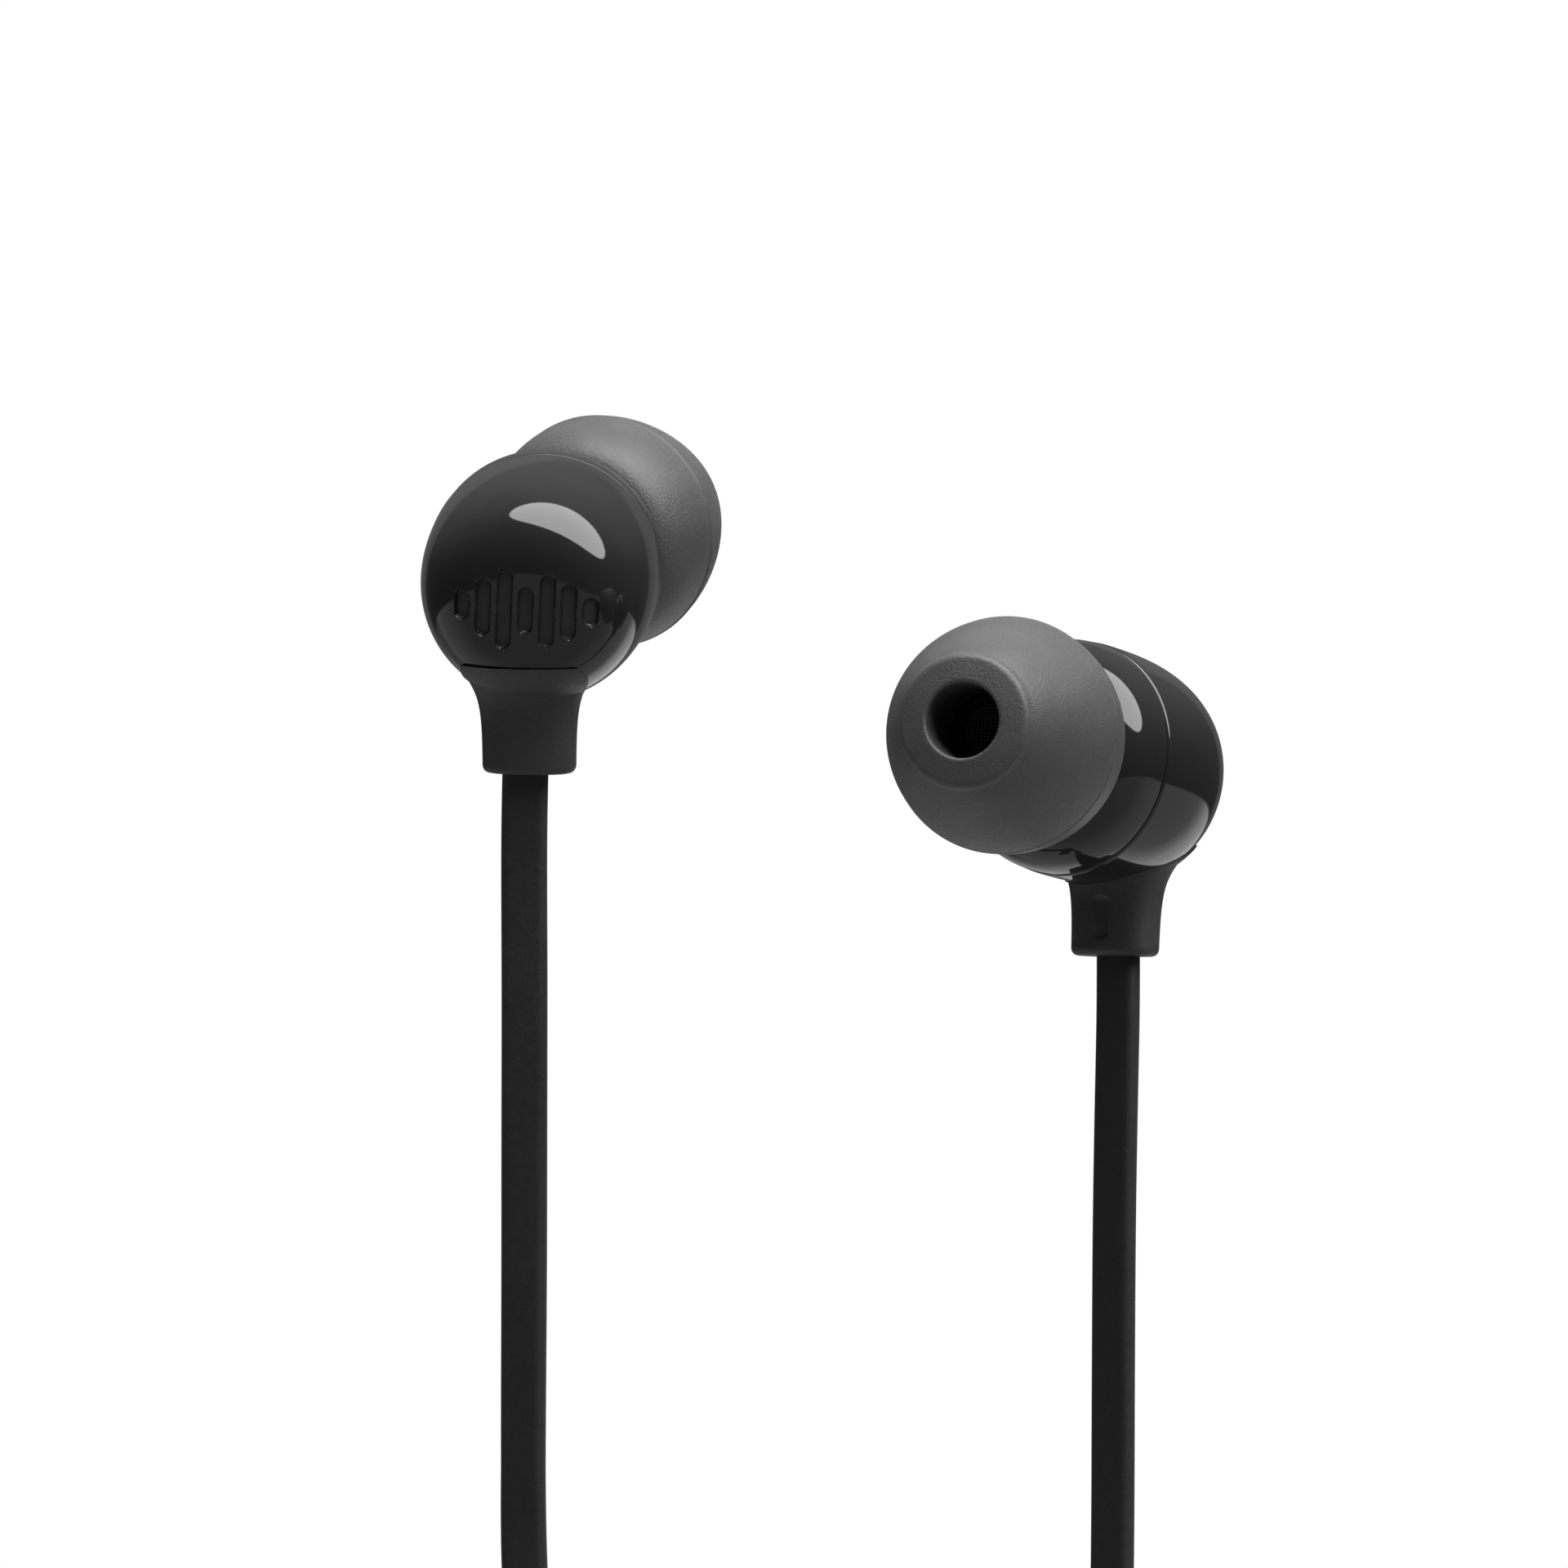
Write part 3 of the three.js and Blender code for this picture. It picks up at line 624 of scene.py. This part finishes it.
LEFT_LINE = pair_route(LEFT_ROUTE, 2 * COLUMN, SPLITTER[0] + BRANCH_OFF)
RIGHT_LINE = pair_route(RIGHT_ROUTE, COLUMN, SPLITTER[0] - BRANCH_OFF)
TRUNK_LINE = trunk_route()
left_cord = fit(flat_cord("left_flat_cord", LEFT_LINE, LEFT_TWIST), "left_cord")
right_cord = fit(flat_cord("right_flat_cord", RIGHT_LINE, RIGHT_TWIST),
                 "right_cord_upper", "right_cord_lower")
trunk_cord = fit(flat_cord("trunk_flat_cord", TRUNK_LINE), "cord_hank", "plug_cord")


# ---- buds ----
def turn_matrix(heading, tilt, lean):
    """Turned about Z by heading, then about X by tilt, then about Y by lean, in degrees."""
    return (Matrix.Rotation(math.radians(lean), 4, "Y") @ Matrix.Rotation(math.radians(tilt), 4, "X")
            @ Matrix.Rotation(math.radians(heading), 4, "Z"))


def bud_frames(side):
    """Matrices of the bud, its housing's axis and its nozzle, in millimetres."""
    bud = BUDS[side]
    whole = Matrix.Translation(bud["centre"]) @ turn_matrix(*bud["turn"])
    housing = whole @ Matrix.Rotation(math.radians(-HOUSING_PITCH), 4, "Y")
    x, y, z = NOZZLE_START
    nozzle = (housing @ Matrix.Translation((x, -bud["inward"] * y, z))
              @ Matrix.Rotation(math.radians(bud["inward"] * NOZZLE_YAW), 4, "Z")
              @ Matrix.Rotation(math.radians(HOUSING_PITCH - NOZZLE_RISE), 4, "Y"))
    return whole, housing, nozzle


LIP = 0.28  # rounding of the shells' rims at the seam
MARK_HEIGHTS = (1.5, 3.0, 4.2, 2.4, 3.8, 2.9, 1.5)
MARK_PITCH = 1.12
MARK_STROKE = 0.74
MARK_DEPTH = 0.24
MARK_EDGE = 0.05  # half the width of a bar's sloping edge
MARK_REACH = 4.8  # no mark further from the axis than this


def dome(radius, depth, power):
    """A squared dome from its rim (distance 0) to its crown."""
    t = np.linspace(0, math.pi / 2, 200)
    line = np.stack([radius * np.cos(t) ** (2 / power), depth * np.sin(t) ** (2 / power)], 1)
    line[-1, 0] = 0
    return line


def bars_mark(across, up):
    """1 inside the engraved mark, a row of round-ended bars of uneven height, and 0 outside."""
    mark = np.zeros_like(across)
    low, high = MARK_STROKE / 2 - MARK_EDGE, MARK_STROKE / 2 + MARK_EDGE
    for place, height in enumerate(MARK_HEIGHTS):
        middle = (place - (len(MARK_HEIGHTS) - 1) / 2) * MARK_PITCH
        reach = height / 2 - MARK_STROKE / 2
        away = np.hypot(across - middle, up - np.clip(up, -reach, reach))
        mark = np.maximum(mark, 1 - smooth(away, low, high))
    return mark


def rear_shell(side, housing):
    """The rear shell: a squared dome with a rounded lip and the engraved mark in its face."""
    outside = spaced(dome(HOUSING_RADIUS, REAR_DEPTH, REAR_POWER)[::-1], 0.07)
    outside = outside[outside[:, 1] > LIP]
    inside = spaced(dome(HOUSING_RADIUS - WALL, REAR_DEPTH - WALL, REAR_POWER), 0.5)
    lip = filleted([(HOUSING_RADIUS, LIP, 0), (HOUSING_RADIUS, 0, LIP - 0.02),
                    (HOUSING_RADIUS - 0.6, 0, 0)], steps=8)
    rings = revolved(np.vstack([outside, lip, inside]), 320)
    depth = []
    for i, ring in enumerate(rings):
        outer = i < len(outside) and np.hypot(ring[0, 1], ring[0, 2]) < MARK_REACH
        mark = bars_mark(-ring[:, 1], ring[:, 2]) if outer else np.zeros(len(ring))
        ring[:, 0] -= MARK_DEPTH * mark
        depth.append(mark)
        ring[:, 0] *= -1
    points, faces = skin(rings)
    shell = mesh_object(f"{side}_rear_housing", points, faces, housing, 30)
    engraved = shell.data.attributes.new("engraved", "FLOAT", "POINT")
    engraved.data.foreach_set("value", np.concatenate(depth).astype(np.float32))
    return fit(shell, f"{side}_rear_shell")


def cut(obj, tool, operation):
    """Applies a boolean with tool to obj and removes tool."""
    change = obj.modifiers.new("cut", "BOOLEAN")
    change.operation = operation
    change.solver = "EXACT"
    change.object = tool
    bpy.context.view_layer.update()
    made = bpy.data.meshes.new_from_object(obj.evaluated_get(bpy.context.evaluated_depsgraph_get()))
    obj.modifiers.clear()
    obj.data = made
    bpy.data.objects.remove(tool)
    return obj


def front_shell(side, housing, nozzle):
    """The front shell with its angled neck and nozzle."""
    rim = HOUSING_RADIUS - 0.05
    outside = spaced(dome(rim, FRONT_DEPTH, FRONT_POWER), 0.12)
    outside = outside[outside[:, 1] > 0.14]
    lip = filleted([(rim - 0.6, 0, 0), (rim, 0, 0.12), (rim, 0.14, 0)])
    body = np.vstack([[(0, 0)], lip, outside]) + (0, 0.05)
    shell = turned("shell", body, housing, 200)
    barb = NOZZLE_LENGTH - BARB_BACK
    neck = filleted([
        (0, 2.2, 0), (NECK_FOOT, 2.2, 0), (NECK_FOOT, 3.9, 0.4), (NECK_RADIUS, 4.9, 0.4),
        (NECK_RADIUS - 0.1, NECK_END - 0.3, 0.2), (NECK_RADIUS - 0.4, NECK_END, 0.1),
        (NOZZLE_RADIUS, NECK_END, 0.1), (NOZZLE_RADIUS, barb, 0.1),
        (NOZZLE_RADIUS + BARB_RISE, barb + 0.4, 0.15), (NOZZLE_RADIUS, NOZZLE_LENGTH, 0.2),
        (0, NOZZLE_LENGTH, 0)])
    cut(shell, turned("neck", neck, nozzle, 96), "UNION")
    hollow = [(0, -1), (HOUSING_RADIUS - WALL, -1), (HOUSING_RADIUS - WALL, 2), (3.6, 3.4), (0, 3.5)]
    cut(shell, turned("hollow", hollow, housing, 64), "DIFFERENCE")
    bore = [(0, 1), (NOZZLE_BORE, 1), (NOZZLE_BORE, NOZZLE_LENGTH + 1), (0, NOZZLE_LENGTH + 1)]
    cut(shell, turned("bore", bore, nozzle, 64), "DIFFERENCE")
    shell.name = f"{side}_front_housing"
    shade(shell, 30)
    return fit(shell, f"{side}_front_shell")


def ear_tip(side, nozzle):
    """A soft bulb, drawn in behind its parting line, domed ahead of it, with a flat front face."""
    turn = np.linspace(0, math.pi / 2, 40)[:, None]
    swell = (TIP_RADIUS - TIP_MOUTH) * np.sin(turn)
    back = np.hstack([TIP_MOUTH + swell, TIP_LINE * (1 - np.cos(turn))])
    hollow = np.hstack([TIP_MOUTH - TIP_SKIN + swell,
                        TIP_SKIN + (TIP_LINE - TIP_SKIN) * (1 - np.cos(turn))])[::-1]
    ridge = [(TIP_RADIUS - 0.03, TIP_LINE - 0.09), (TIP_RADIUS + 0.03, TIP_LINE - 0.03),
             (TIP_RADIUS + 0.03, TIP_LINE + 0.03), (TIP_RADIUS - 0.01, TIP_LINE + 0.08)]
    along = np.linspace(0, 1, 80)[:, None]
    dome_swell = (1 - along ** 1.4) ** 0.9
    flank = np.hstack([TIP_FRONT + (TIP_RADIUS - TIP_FRONT) * dome_swell, TIP_LINE + TIP_FLANK * along])
    flank = spaced(flank, 0.1)[2:]
    mouth = filleted([
        (*flank[-3], 0), (TIP_FRONT - 0.05, TIP_LENGTH - 0.25, 0.3), (TIP_HOLE, TIP_LENGTH, 0.25),
        (TIP_HOLE, SLEEVE_TO, 0)], steps=10)
    crotch = SLEEVE_TO - 0.35
    inner = filleted([
        (SLEEVE_RADIUS, SLEEVE_TO, 0), (SLEEVE_RADIUS, SLEEVE_FROM, 0.2),
        (SLEEVE_RADIUS + TIP_SKIN, SLEEVE_FROM, 0.2), (SLEEVE_RADIUS + TIP_SKIN, crotch, 0.4),
        (4.6, crotch - 0.6, 0.6), (*hollow[1], 0)])
    rim = filleted([
        (*hollow[-2], 0), (TIP_MOUTH - TIP_SKIN, 0.1, 0.3), (TIP_MOUTH - 0.1, 0, 0.2), (*back[1], 0)])
    profile = np.vstack([inner[:-1], hollow[1:-2], rim, back[2:-2], ridge, flank[:-3], mouth])
    askew = Matrix.Rotation(math.radians(TIP_ASKEW[side]), 4, "Y")
    at = nozzle @ askew @ Matrix.Translation((TIP_AT, 0, 0))
    tip = turned(f"{side}_silicone_tip", profile, at, 160, joined=True, crease=60)
    return fit(tip, f"{side}_ear_tip")


def whole_dome(name, growth, housing):
    """The whole housing as one solid, its skin moved out by growth."""
    rear = spaced(dome(HOUSING_RADIUS + growth, REAR_DEPTH + growth, REAR_POWER), 0.15)[::-1] * (1, -1)
    ahead = spaced(dome(HOUSING_RADIUS + growth, FRONT_DEPTH + growth, FRONT_POWER), 0.15)
    return turned(name, np.vstack([rear, ahead[1:]]), housing, 160)


def oval(width, depth):
    """A squared oval, width along y and depth along x."""
    power, count = 2.6, 120
    angle = np.arange(count) * 2 * math.pi / count
    c, s = np.cos(angle), np.sin(angle)
    return np.column_stack([depth / 2 * np.sign(c) * abs(c) ** (2 / power),
                            width / 2 * np.sign(s) * abs(s) ** (2 / power)])


def relief_spread(z):
    """How far the relief has flared at height z: 0 at the cord, near 1 at the housing."""
    middle, softness = -5.0, 0.98
    flare = math.exp((z - middle) / softness)
    return flare / (1 + flare ** 4) ** 0.25


def relief_block(side, leaning):
    """The block that the cord leaves, flaring upward, with a sunk mark: one bar left, two right."""
    heights = np.concatenate([np.linspace(RELIEF_TOP, RELIEF_ROUND, 90),
                              [-9.8, -9.88, -9.95, -10.01, -10.06, -RELIEF_END]])
    rings = []
    for z in heights:
        foot = max(0, RELIEF_ROUND - z) / 0.4
        inset = 0.34 * (1 - math.sqrt(max(0, 1 - foot ** 2)))
        back = -RELIEF_BACK - RELIEF_DEPTH / 2 - 1.2 * relief_spread(z) + inset
        ahead = -RELIEF_BACK + RELIEF_DEPTH / 2 + relief_spread(z) - inset
        section = oval(RELIEF_WIDTH + 2 * relief_spread(z) - 2 * inset, ahead - back)
        ring = np.column_stack([section + ((ahead + back) / 2, 0), np.full(len(section), z)])
        for middle in SIDE_MARKS[side]:
            gap = np.hypot(ring[:, 1] - middle, max(abs(z - SIDE_MARK_AT) - 0.75, 0))
            ring[:, 0] -= SIDE_MARK_DEPTH * (1 - smooth(gap, 0.3, 0.42)) * (section[:, 0] > 0)
        rings.append(ring)
    points, faces = skin(rings)
    return mesh_object(f"{side}_cord_relief", points, faces, leaning, 50)


def strain_relief(side, whole, housing):
    """The relief's block and the collar by which it wraps the housing's underside."""
    pivot = Matrix.Translation((0, 0, RELIEF_PIVOT))
    leaning = whole @ pivot @ Matrix.Rotation(math.radians(RELIEF_LEAN), 4, "X") @ pivot.inverted()
    walls = []
    for z in np.linspace(COLLAR_FOOT, COLLAR_TOP, 40):
        section = oval(RELIEF_WIDTH + 0.1 + 2 * relief_spread(z), COLLAR_AHEAD - COLLAR_BACK)
        walls.append(np.column_stack([section + ((COLLAR_AHEAD + COLLAR_BACK) / 2, 0),
                                      np.full(len(section), z)]))
    points, faces = skin(walls)
    collar = whole_dome("collar", COLLAR_GROWTH, housing)
    cut(collar, mesh_object("walls", points, faces, leaning), "INTERSECT")
    relief = relief_block(side, leaning)
    cut(relief, collar, "UNION")
    cut(relief, whole_dome("within", -0.35, housing), "DIFFERENCE")
    shade(relief, 42)
    return fit(relief, f"{side}_strain_relief")


for bud_side in BUDS:
    whole_frame, housing_frame, nozzle_frame = bud_frames(bud_side)
    rear_shell(bud_side, housing_frame)
    front_shell(bud_side, housing_frame, nozzle_frame)
    ear_tip(bud_side, nozzle_frame)
    strain_relief(bud_side, whole_frame, housing_frame)


# ---- on the cords ----
def strap():
    """A soft closed strap round the hank."""
    low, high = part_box("cord_tie")
    centre = (Vector(low) + Vector(high)) / 2 / MM
    width = (high[0] - low[0]) / MM - 0.3
    depth = (high[1] - low[1]) / MM - 1
    outline = rounded(width - TIE_THICK, depth - TIE_THICK, 2.2, 12, 12)
    ahead = np.roll(outline, -1, 0) - np.roll(outline, 1, 0)
    ahead /= np.linalg.norm(ahead, axis=1)[:, None]
    out = np.stack([ahead[:, 1], -ahead[:, 0]], 1)
    section = rounded(TIE_THICK, TIE_HEIGHT, 0.35, 5, 4)
    rings = [np.stack([p[0] + section[:, 0] * o[0], p[1] + section[:, 0] * o[1], section[:, 1]], 1)
             for p, o in zip(outline, out)]
    points, faces = skin(rings, joined=True)
    return fit(mesh_object("hank_strap", points, faces, Matrix.Translation(centre)), "cord_tie")


def pillow(name, size, radius, edge, matrix=None):
    """A rounded block standing on Z whose ends are rounded over by edge."""
    x, y, z = size
    steps = 6
    levels = []
    for i in range(steps + 1):
        angle = i / steps * math.pi / 2
        levels.append((edge * (1 - math.sin(angle)), -z / 2 + edge * (1 - math.cos(angle))))
    levels += [(inset, -height) for inset, height in reversed(levels)]
    rings = []
    for inset, height in levels:
        outline = rounded(x - 2 * inset, y - 2 * inset, max(radius - inset, 0.05), 8, 4)
        rings.append(np.column_stack([outline, np.full(len(outline), height)]))
    points, faces = skin(rings)
    return mesh_object(name, points, faces, matrix)


def remote_frame():
    """The remote's own frame: its middle, with Z up the cord."""
    up = Vector(REMOTE_UP).normalized()
    return Matrix.Translation(REMOTE_AT) @ Vector((0, 0, 1)).rotation_difference(up).to_matrix().to_4x4()


def remote_shells(at):
    """Front and rear halves of the remote, with the button's window and the microphone's hole."""
    x, y, z = REMOTE_SIZE
    wall = 2 * REMOTE_WALL
    halves = []
    for name, low, high in (("remote_front_half", -9, REMOTE_SEAM - 0.02),
                            ("remote_rear_half", REMOTE_SEAM + 0.05, 9)):
        shell = pillow(name, REMOTE_SIZE, 1.6, 0.9)
        middle = Matrix.Translation((0, (low + high) / 2, 0))
        cut(shell, pillow("block", (20, high - low, 60), 0.1, 0.1, middle), "INTERSECT")
        cut(shell, pillow("hollow", (x - wall, y - wall, z - 2.4), 0.8, 0.3), "DIFFERENCE")
        halves.append(shell)
    front = halves[0]
    width, length = BUTTON_SIZE
    facing = Matrix.Translation((0, -y / 2, 0)) @ Matrix.Rotation(math.pi / 2, 4, "X")
    cut(front, pillow("window", (width + 0.3, length + 0.3, 3), 1.5, 0.05, facing), "DIFFERENCE")
    through = Matrix.Translation((0, -y / 2, MIC_AT)) @ Matrix.Rotation(math.pi / 2, 4, "Z")
    cut(front, turned("hole", [(0, -3), (0.35, -3), (0.35, 3), (0, 3)], through, 32), "DIFFERENCE")
    for shell, node in zip(halves, ("remote_front_shell", "remote_rear_shell")):
        shell.data.transform(Matrix.Diagonal((1 / MM, 1 / MM, 1 / MM, 1)))
        shell.data.transform(at)
        shell.data.transform(Matrix.Diagonal((MM, MM, MM, 1)))
        shade(shell, 35)
        fit(shell, node)
    return halves


def remote_button(at):
    """A dished key with a raised bar across its middle."""
    width, length = BUTTON_SIZE
    face = -REMOTE_SIZE[1] / 2
    rings = []
    for inset, depth in ((0, 1.0), (0, -0.08), (0.05, -0.2), (0.16, -0.28), (0.34, -0.28),
                         (0.6, -0.2), (0.95, -0.16)):
        outline = rounded(width - 2 * inset, length - 2 * inset, max(1.4 - inset, 0.12), 12, 8)
        rings.append(np.column_stack([outline[:, 0], np.full(len(outline), face + depth),
                                      outline[:, 1]]))
    points, faces = skin(rings)
    key = mesh_object("remote_key", points, faces, at, 50)
    facing = at @ Matrix.Translation((0, face - 0.2, 0)) @ Matrix.Rotation(math.pi / 2, 4, "X")
    cut(key, pillow("bar", (0.5, 1.7, 0.3), 0.2, 0.12, facing), "UNION")
    return fit(key, "remote_button")


def ribbed_stub(name, at, node, low, high, wide, narrow):
    """A soft sleeve with grooves, tapering from wide at its housing to narrow."""
    grooves, deep = 3, 0.16
    rings = []
    for s in np.linspace(0, 1, 49):
        groove = deep * (smooth(math.sin(s * grooves * 2 * math.pi), 0.35, 0.8) if 0.1 < s < 0.93 else 0)
        end = 0.15 * max(0, (s - 0.94) / 0.06) ** 2
        width = wide[0] + (narrow[0] - wide[0]) * s - 2 * groove - 2 * end
        depth = wide[1] + (narrow[1] - wide[1]) * s - 2 * groove - 2 * end
        outline = rounded(width, depth, depth * 0.4, 6, 3)
        rings.append(np.column_stack([outline, np.full(len(outline), low + (high - low) * s)]))
    points, faces = skin(rings)
    return fit(mesh_object(name, points, faces, at), node)


def plug_pieces():
    """The plug, pointing down: sleeve, ribbed grip, four contacts and the collars between them."""
    at = Matrix.Translation((TAIL_X, TAIL_Y, PLUG_TOP)) @ Matrix.Rotation(math.pi / 2, 4, "Y")
    made = []

    def piece(name, node, corners, joined=False):
        profile = filleted(corners, closed=joined)
        made.append(fit(turned(name, profile, at, 72, joined, 35), node))

    sleeve = [(0, 0, 0), (1.5, 0, 0.15), (1.62, 0.7, 0.1)]
    for k in range(4):
        start = 1.1 + 1.15 * k
        swell = 1.66 + 0.1 * k
        sleeve += [(swell - 0.24, start, 0.08), (swell - 0.22, start + 0.4, 0.08),
                   (swell + 0.04, start + 0.6, 0.12), (swell + 0.08, start + 0.98, 0.12)]
    sleeve += [(2.2, 5.95, 0.1), (0, 6, 0)]
    piece("plug_sleeve", "plug_strain_relief", sleeve)
    grip = [(0, 6.05, 0), (2.4, 6.05, 0.2), (2.95, 6.9, 0.3)]
    for k in range(6):
        start = 8.2 + 1.15 * k
        grip += [(3.0 + 0.02 * k, start, 0.12), (2.82 + 0.02 * k, start + 0.22, 0.1),
                 (2.82 + 0.02 * k, start + 0.5, 0.1), (3.02 + 0.02 * k, start + 0.72, 0.12)]
    grip += [(3.18, 17, 0.3), (2.85, 17.7, 0.2), (0, 17.7, 0)]
    piece("plug_grip_body", "plug_grip", grip)
    piece("plug_shoulder_contact", "plug_sleeve_contact", [
        (0.82, 17.8, 0), (2.6, 17.8, 0.1), (2.6, 18.5, 0.08), (PLUG_RADIUS, 18.5, 0.06),
        (PLUG_RADIUS, 21.26, 0.05), (0.82, 21.26, 0)], True)
    for name, node, low, high in (("plug_ring_a", "plug_lower_ring", 22.04, 24.96),
                                  ("plug_ring_b", "plug_upper_ring", 25.74, 28.16)):
        piece(name, node, [(0.85, low, 0), (PLUG_RADIUS, low, 0.05),
                           (PLUG_RADIUS, high, 0.05), (0.85, high, 0)], True)
    piece("plug_nose", "plug_tip_contact", [
        (0, 28.95, 0), (1.6, 28.95, 0.1), (1.2, 29.85, 0.3), (1.72, 30.8, 0.35),
        (0.9, 32.2, 0.5), (0, 32.4, 0)])
    core, collar = 0.78, PLUG_RADIUS - 0.03
    collars = [(0, 18.3, 0), (core, 18.3, 0)]
    for low, high in ((21.3, 22), (25, 25.7), (28.2, 28.9)):
        collars += [(core, low, 0), (collar, low, 0.04), (collar, high, 0.04), (core, high, 0)]
    piece("plug_collars", "plug_insulator", collars + [(0, 28.9, 0)])
    return made


at_remote = remote_frame()
half_remote = REMOTE_SIZE[2] / 2
stub_wide, stub_narrow = (3.9, 2.7), (3.2, 1.9)
remote_pieces = remote_shells(at_remote) + [
    remote_button(at_remote),
    ribbed_stub("remote_sleeve_top", at_remote, "remote_upper_relief",
                half_remote - 0.3, half_remote + SLEEVE_STUB, stub_wide, stub_narrow),
    ribbed_stub("remote_sleeve_bottom", at_remote, "remote_lower_relief",
                0.3 - half_remote, -half_remote - SLEEVE_STUB, stub_wide, stub_narrow),
]
hank_strap = strap()
splitter_block = fit(pillow("splitter_block", SPLITTER_SIZE, 1.3, 0.7, Matrix.Translation(SPLITTER)),
                     "cord_splitter")
plug = plug_pieces()

# ---- CAD nodes that show as they are, each with its finish ----
for node_name, node in frame["nodes"].items():
    if not node.hide_render:
        node.data.materials.clear()
        node.data.materials.append(MATERIALS[SLOT_OF[node_name]])


# ---- floor and light ----
FLOOR_RADIUS = 900
FLOOR_THICK = 4
FLOOR_BELOW = 12  # from the plug's tip down to the floor
BACKDROP = 0.1  # how bright each part of the studio is
SWEEP = 0.42
CEILING = 0.32
ROOM = 0.05


def floor():
    """A wide pale disc below the hanging plug, which neither shades nor lights the object."""
    low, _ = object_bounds()
    profile = [(0, 0), (FLOOR_RADIUS, 0), (FLOOR_RADIUS, -FLOOR_THICK), (0, -FLOOR_THICK)]
    at = Matrix.Translation((0, 0, low[2] / MM - FLOOR_BELOW)) @ Matrix.Rotation(-math.pi / 2, 4, "Y")
    disc = turned("floor", profile, at, 128)
    m = Nodes("floor_paper")
    m.link(m.blended(m.ranged(m.noise(60, 2), 0, 1), grey(0.34), grey(0.36)),
           m.shader.inputs["Base Color"])
    m.put({"Roughness": 0.8, "Specular IOR Level": 0.2, "Emission Color": (1, 1, 1, 1),
           "Emission Strength": 0.75})
    m.bump(m.noise(1.5, 2), 0.1, 0.05)
    disc.data.materials.append(m.material)
    disc.visible_glossy = False
    disc.visible_diffuse = False
    disc.visible_shadow = False
    disc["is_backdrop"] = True


def world():
    """White to the camera. The object stands in a dark room with a dim backdrop, a pale sweep
    below it, brighter behind it on one side, and a soft ceiling."""
    made = bpy.data.worlds.new("studio")
    scene.world = made
    made.use_nodes = True
    tree = made.node_tree
    tree.nodes.clear()
    split = tree.nodes.new("ShaderNodeSeparateXYZ")
    tree.links.new(tree.nodes.new("ShaderNodeTexCoord").outputs["Generated"], split.inputs[0])

    def ramp(axis, start, end, low, high):
        """low where that coordinate of the direction is start, high where it is end."""
        node = tree.nodes.new("ShaderNodeMapRange")
        tree.links.new(split.outputs[axis], node.inputs["Value"])
        for key, value in (("From Min", start), ("From Max", end), ("To Min", low), ("To Max", high)):
            node.inputs[key].default_value = value
        return node.outputs["Result"]

    def math_node(operation, a, b):
        """The operation's result on two outputs."""
        node = tree.nodes.new("ShaderNodeMath")
        node.operation = operation
        tree.links.new(a, node.inputs[0])
        tree.links.new(b, node.inputs[1])
        return node.outputs[0]

    backdrop = ramp("Y", 0.84, 0.86, 0, BACKDROP)
    sweep = math_node("MULTIPLY", ramp("Z", -0.25, -0.23, SWEEP, 0), ramp("Y", -0.35, 0.05, 0.6, 1))
    behind = math_node("MULTIPLY", ramp("Y", 0.55, 0.7, 0, 1), ramp("X", -0.4, 0.3, -0.7, 1.5))
    sweep = math_node("ADD", sweep, math_node("MULTIPLY", sweep, behind))
    ceiling = math_node("MULTIPLY", ramp("Z", 0.15, 1, 0, CEILING), ramp("Y", -0.6, 0.3, 0.2, 1))
    room = ramp("Z", -1, 1, ROOM, ROOM * 1.2)
    light = math_node("ADD", math_node("MAXIMUM", backdrop, sweep), math_node("ADD", ceiling, room))
    seen = tree.nodes.new("ShaderNodeBackground")
    studio = tree.nodes.new("ShaderNodeBackground")
    tree.links.new(light, studio.inputs["Color"])
    path = tree.nodes.new("ShaderNodeLightPath")
    mix = tree.nodes.new("ShaderNodeMixShader")
    out = tree.nodes.new("ShaderNodeOutputWorld")
    seen.inputs["Color"].default_value = (1, 1, 1, 1)
    tree.links.new(path.outputs["Is Camera Ray"], mix.inputs["Fac"])
    tree.links.new(studio.outputs[0], mix.inputs[1])
    tree.links.new(seen.outputs[0], mix.inputs[2])
    tree.links.new(mix.outputs[0], out.inputs["Surface"])


def softbox(name, towards, distance, along, size, radiance, mirrored=True):
    """An oval softbox that faces the buds, its long side pointing along, seen in gloss if mirrored."""
    data = bpy.data.lights.new(name, "AREA")
    data.shape = "ELLIPSE"
    data.size, data.size_y = size[0] * MM, size[1] * MM
    area = math.pi / 4 * data.size * data.size_y
    data.energy = radiance * math.pi * area
    back = Vector(towards).normalized()
    side = (Vector(along) - Vector(along).dot(back) * back).normalized()
    light = bpy.data.objects.new(name, data)
    axes = Matrix((side, back.cross(side), back)).transposed().to_4x4()
    light.matrix_world = Matrix.Translation(back * distance * MM) @ axes
    light.visible_camera = False
    light.visible_glossy = mirrored
    scene.collection.objects.link(light)


floor()
world()
softbox("overhead", (0.355, -0.321, 0.878), 450, (0.912, -0.083, -0.401), (850, 390), 7.5)
softbox("from_above", (0.1, 0.35, 0.93), 600, (1, 0, 0), (900, 700), 6.5, mirrored=False)
softbox("from_below", (-0.35, -0.3, -0.88), 600, (1, 0, 0), (900, 900), 0.6, mirrored=False)
scene.view_settings.view_transform = "Standard"
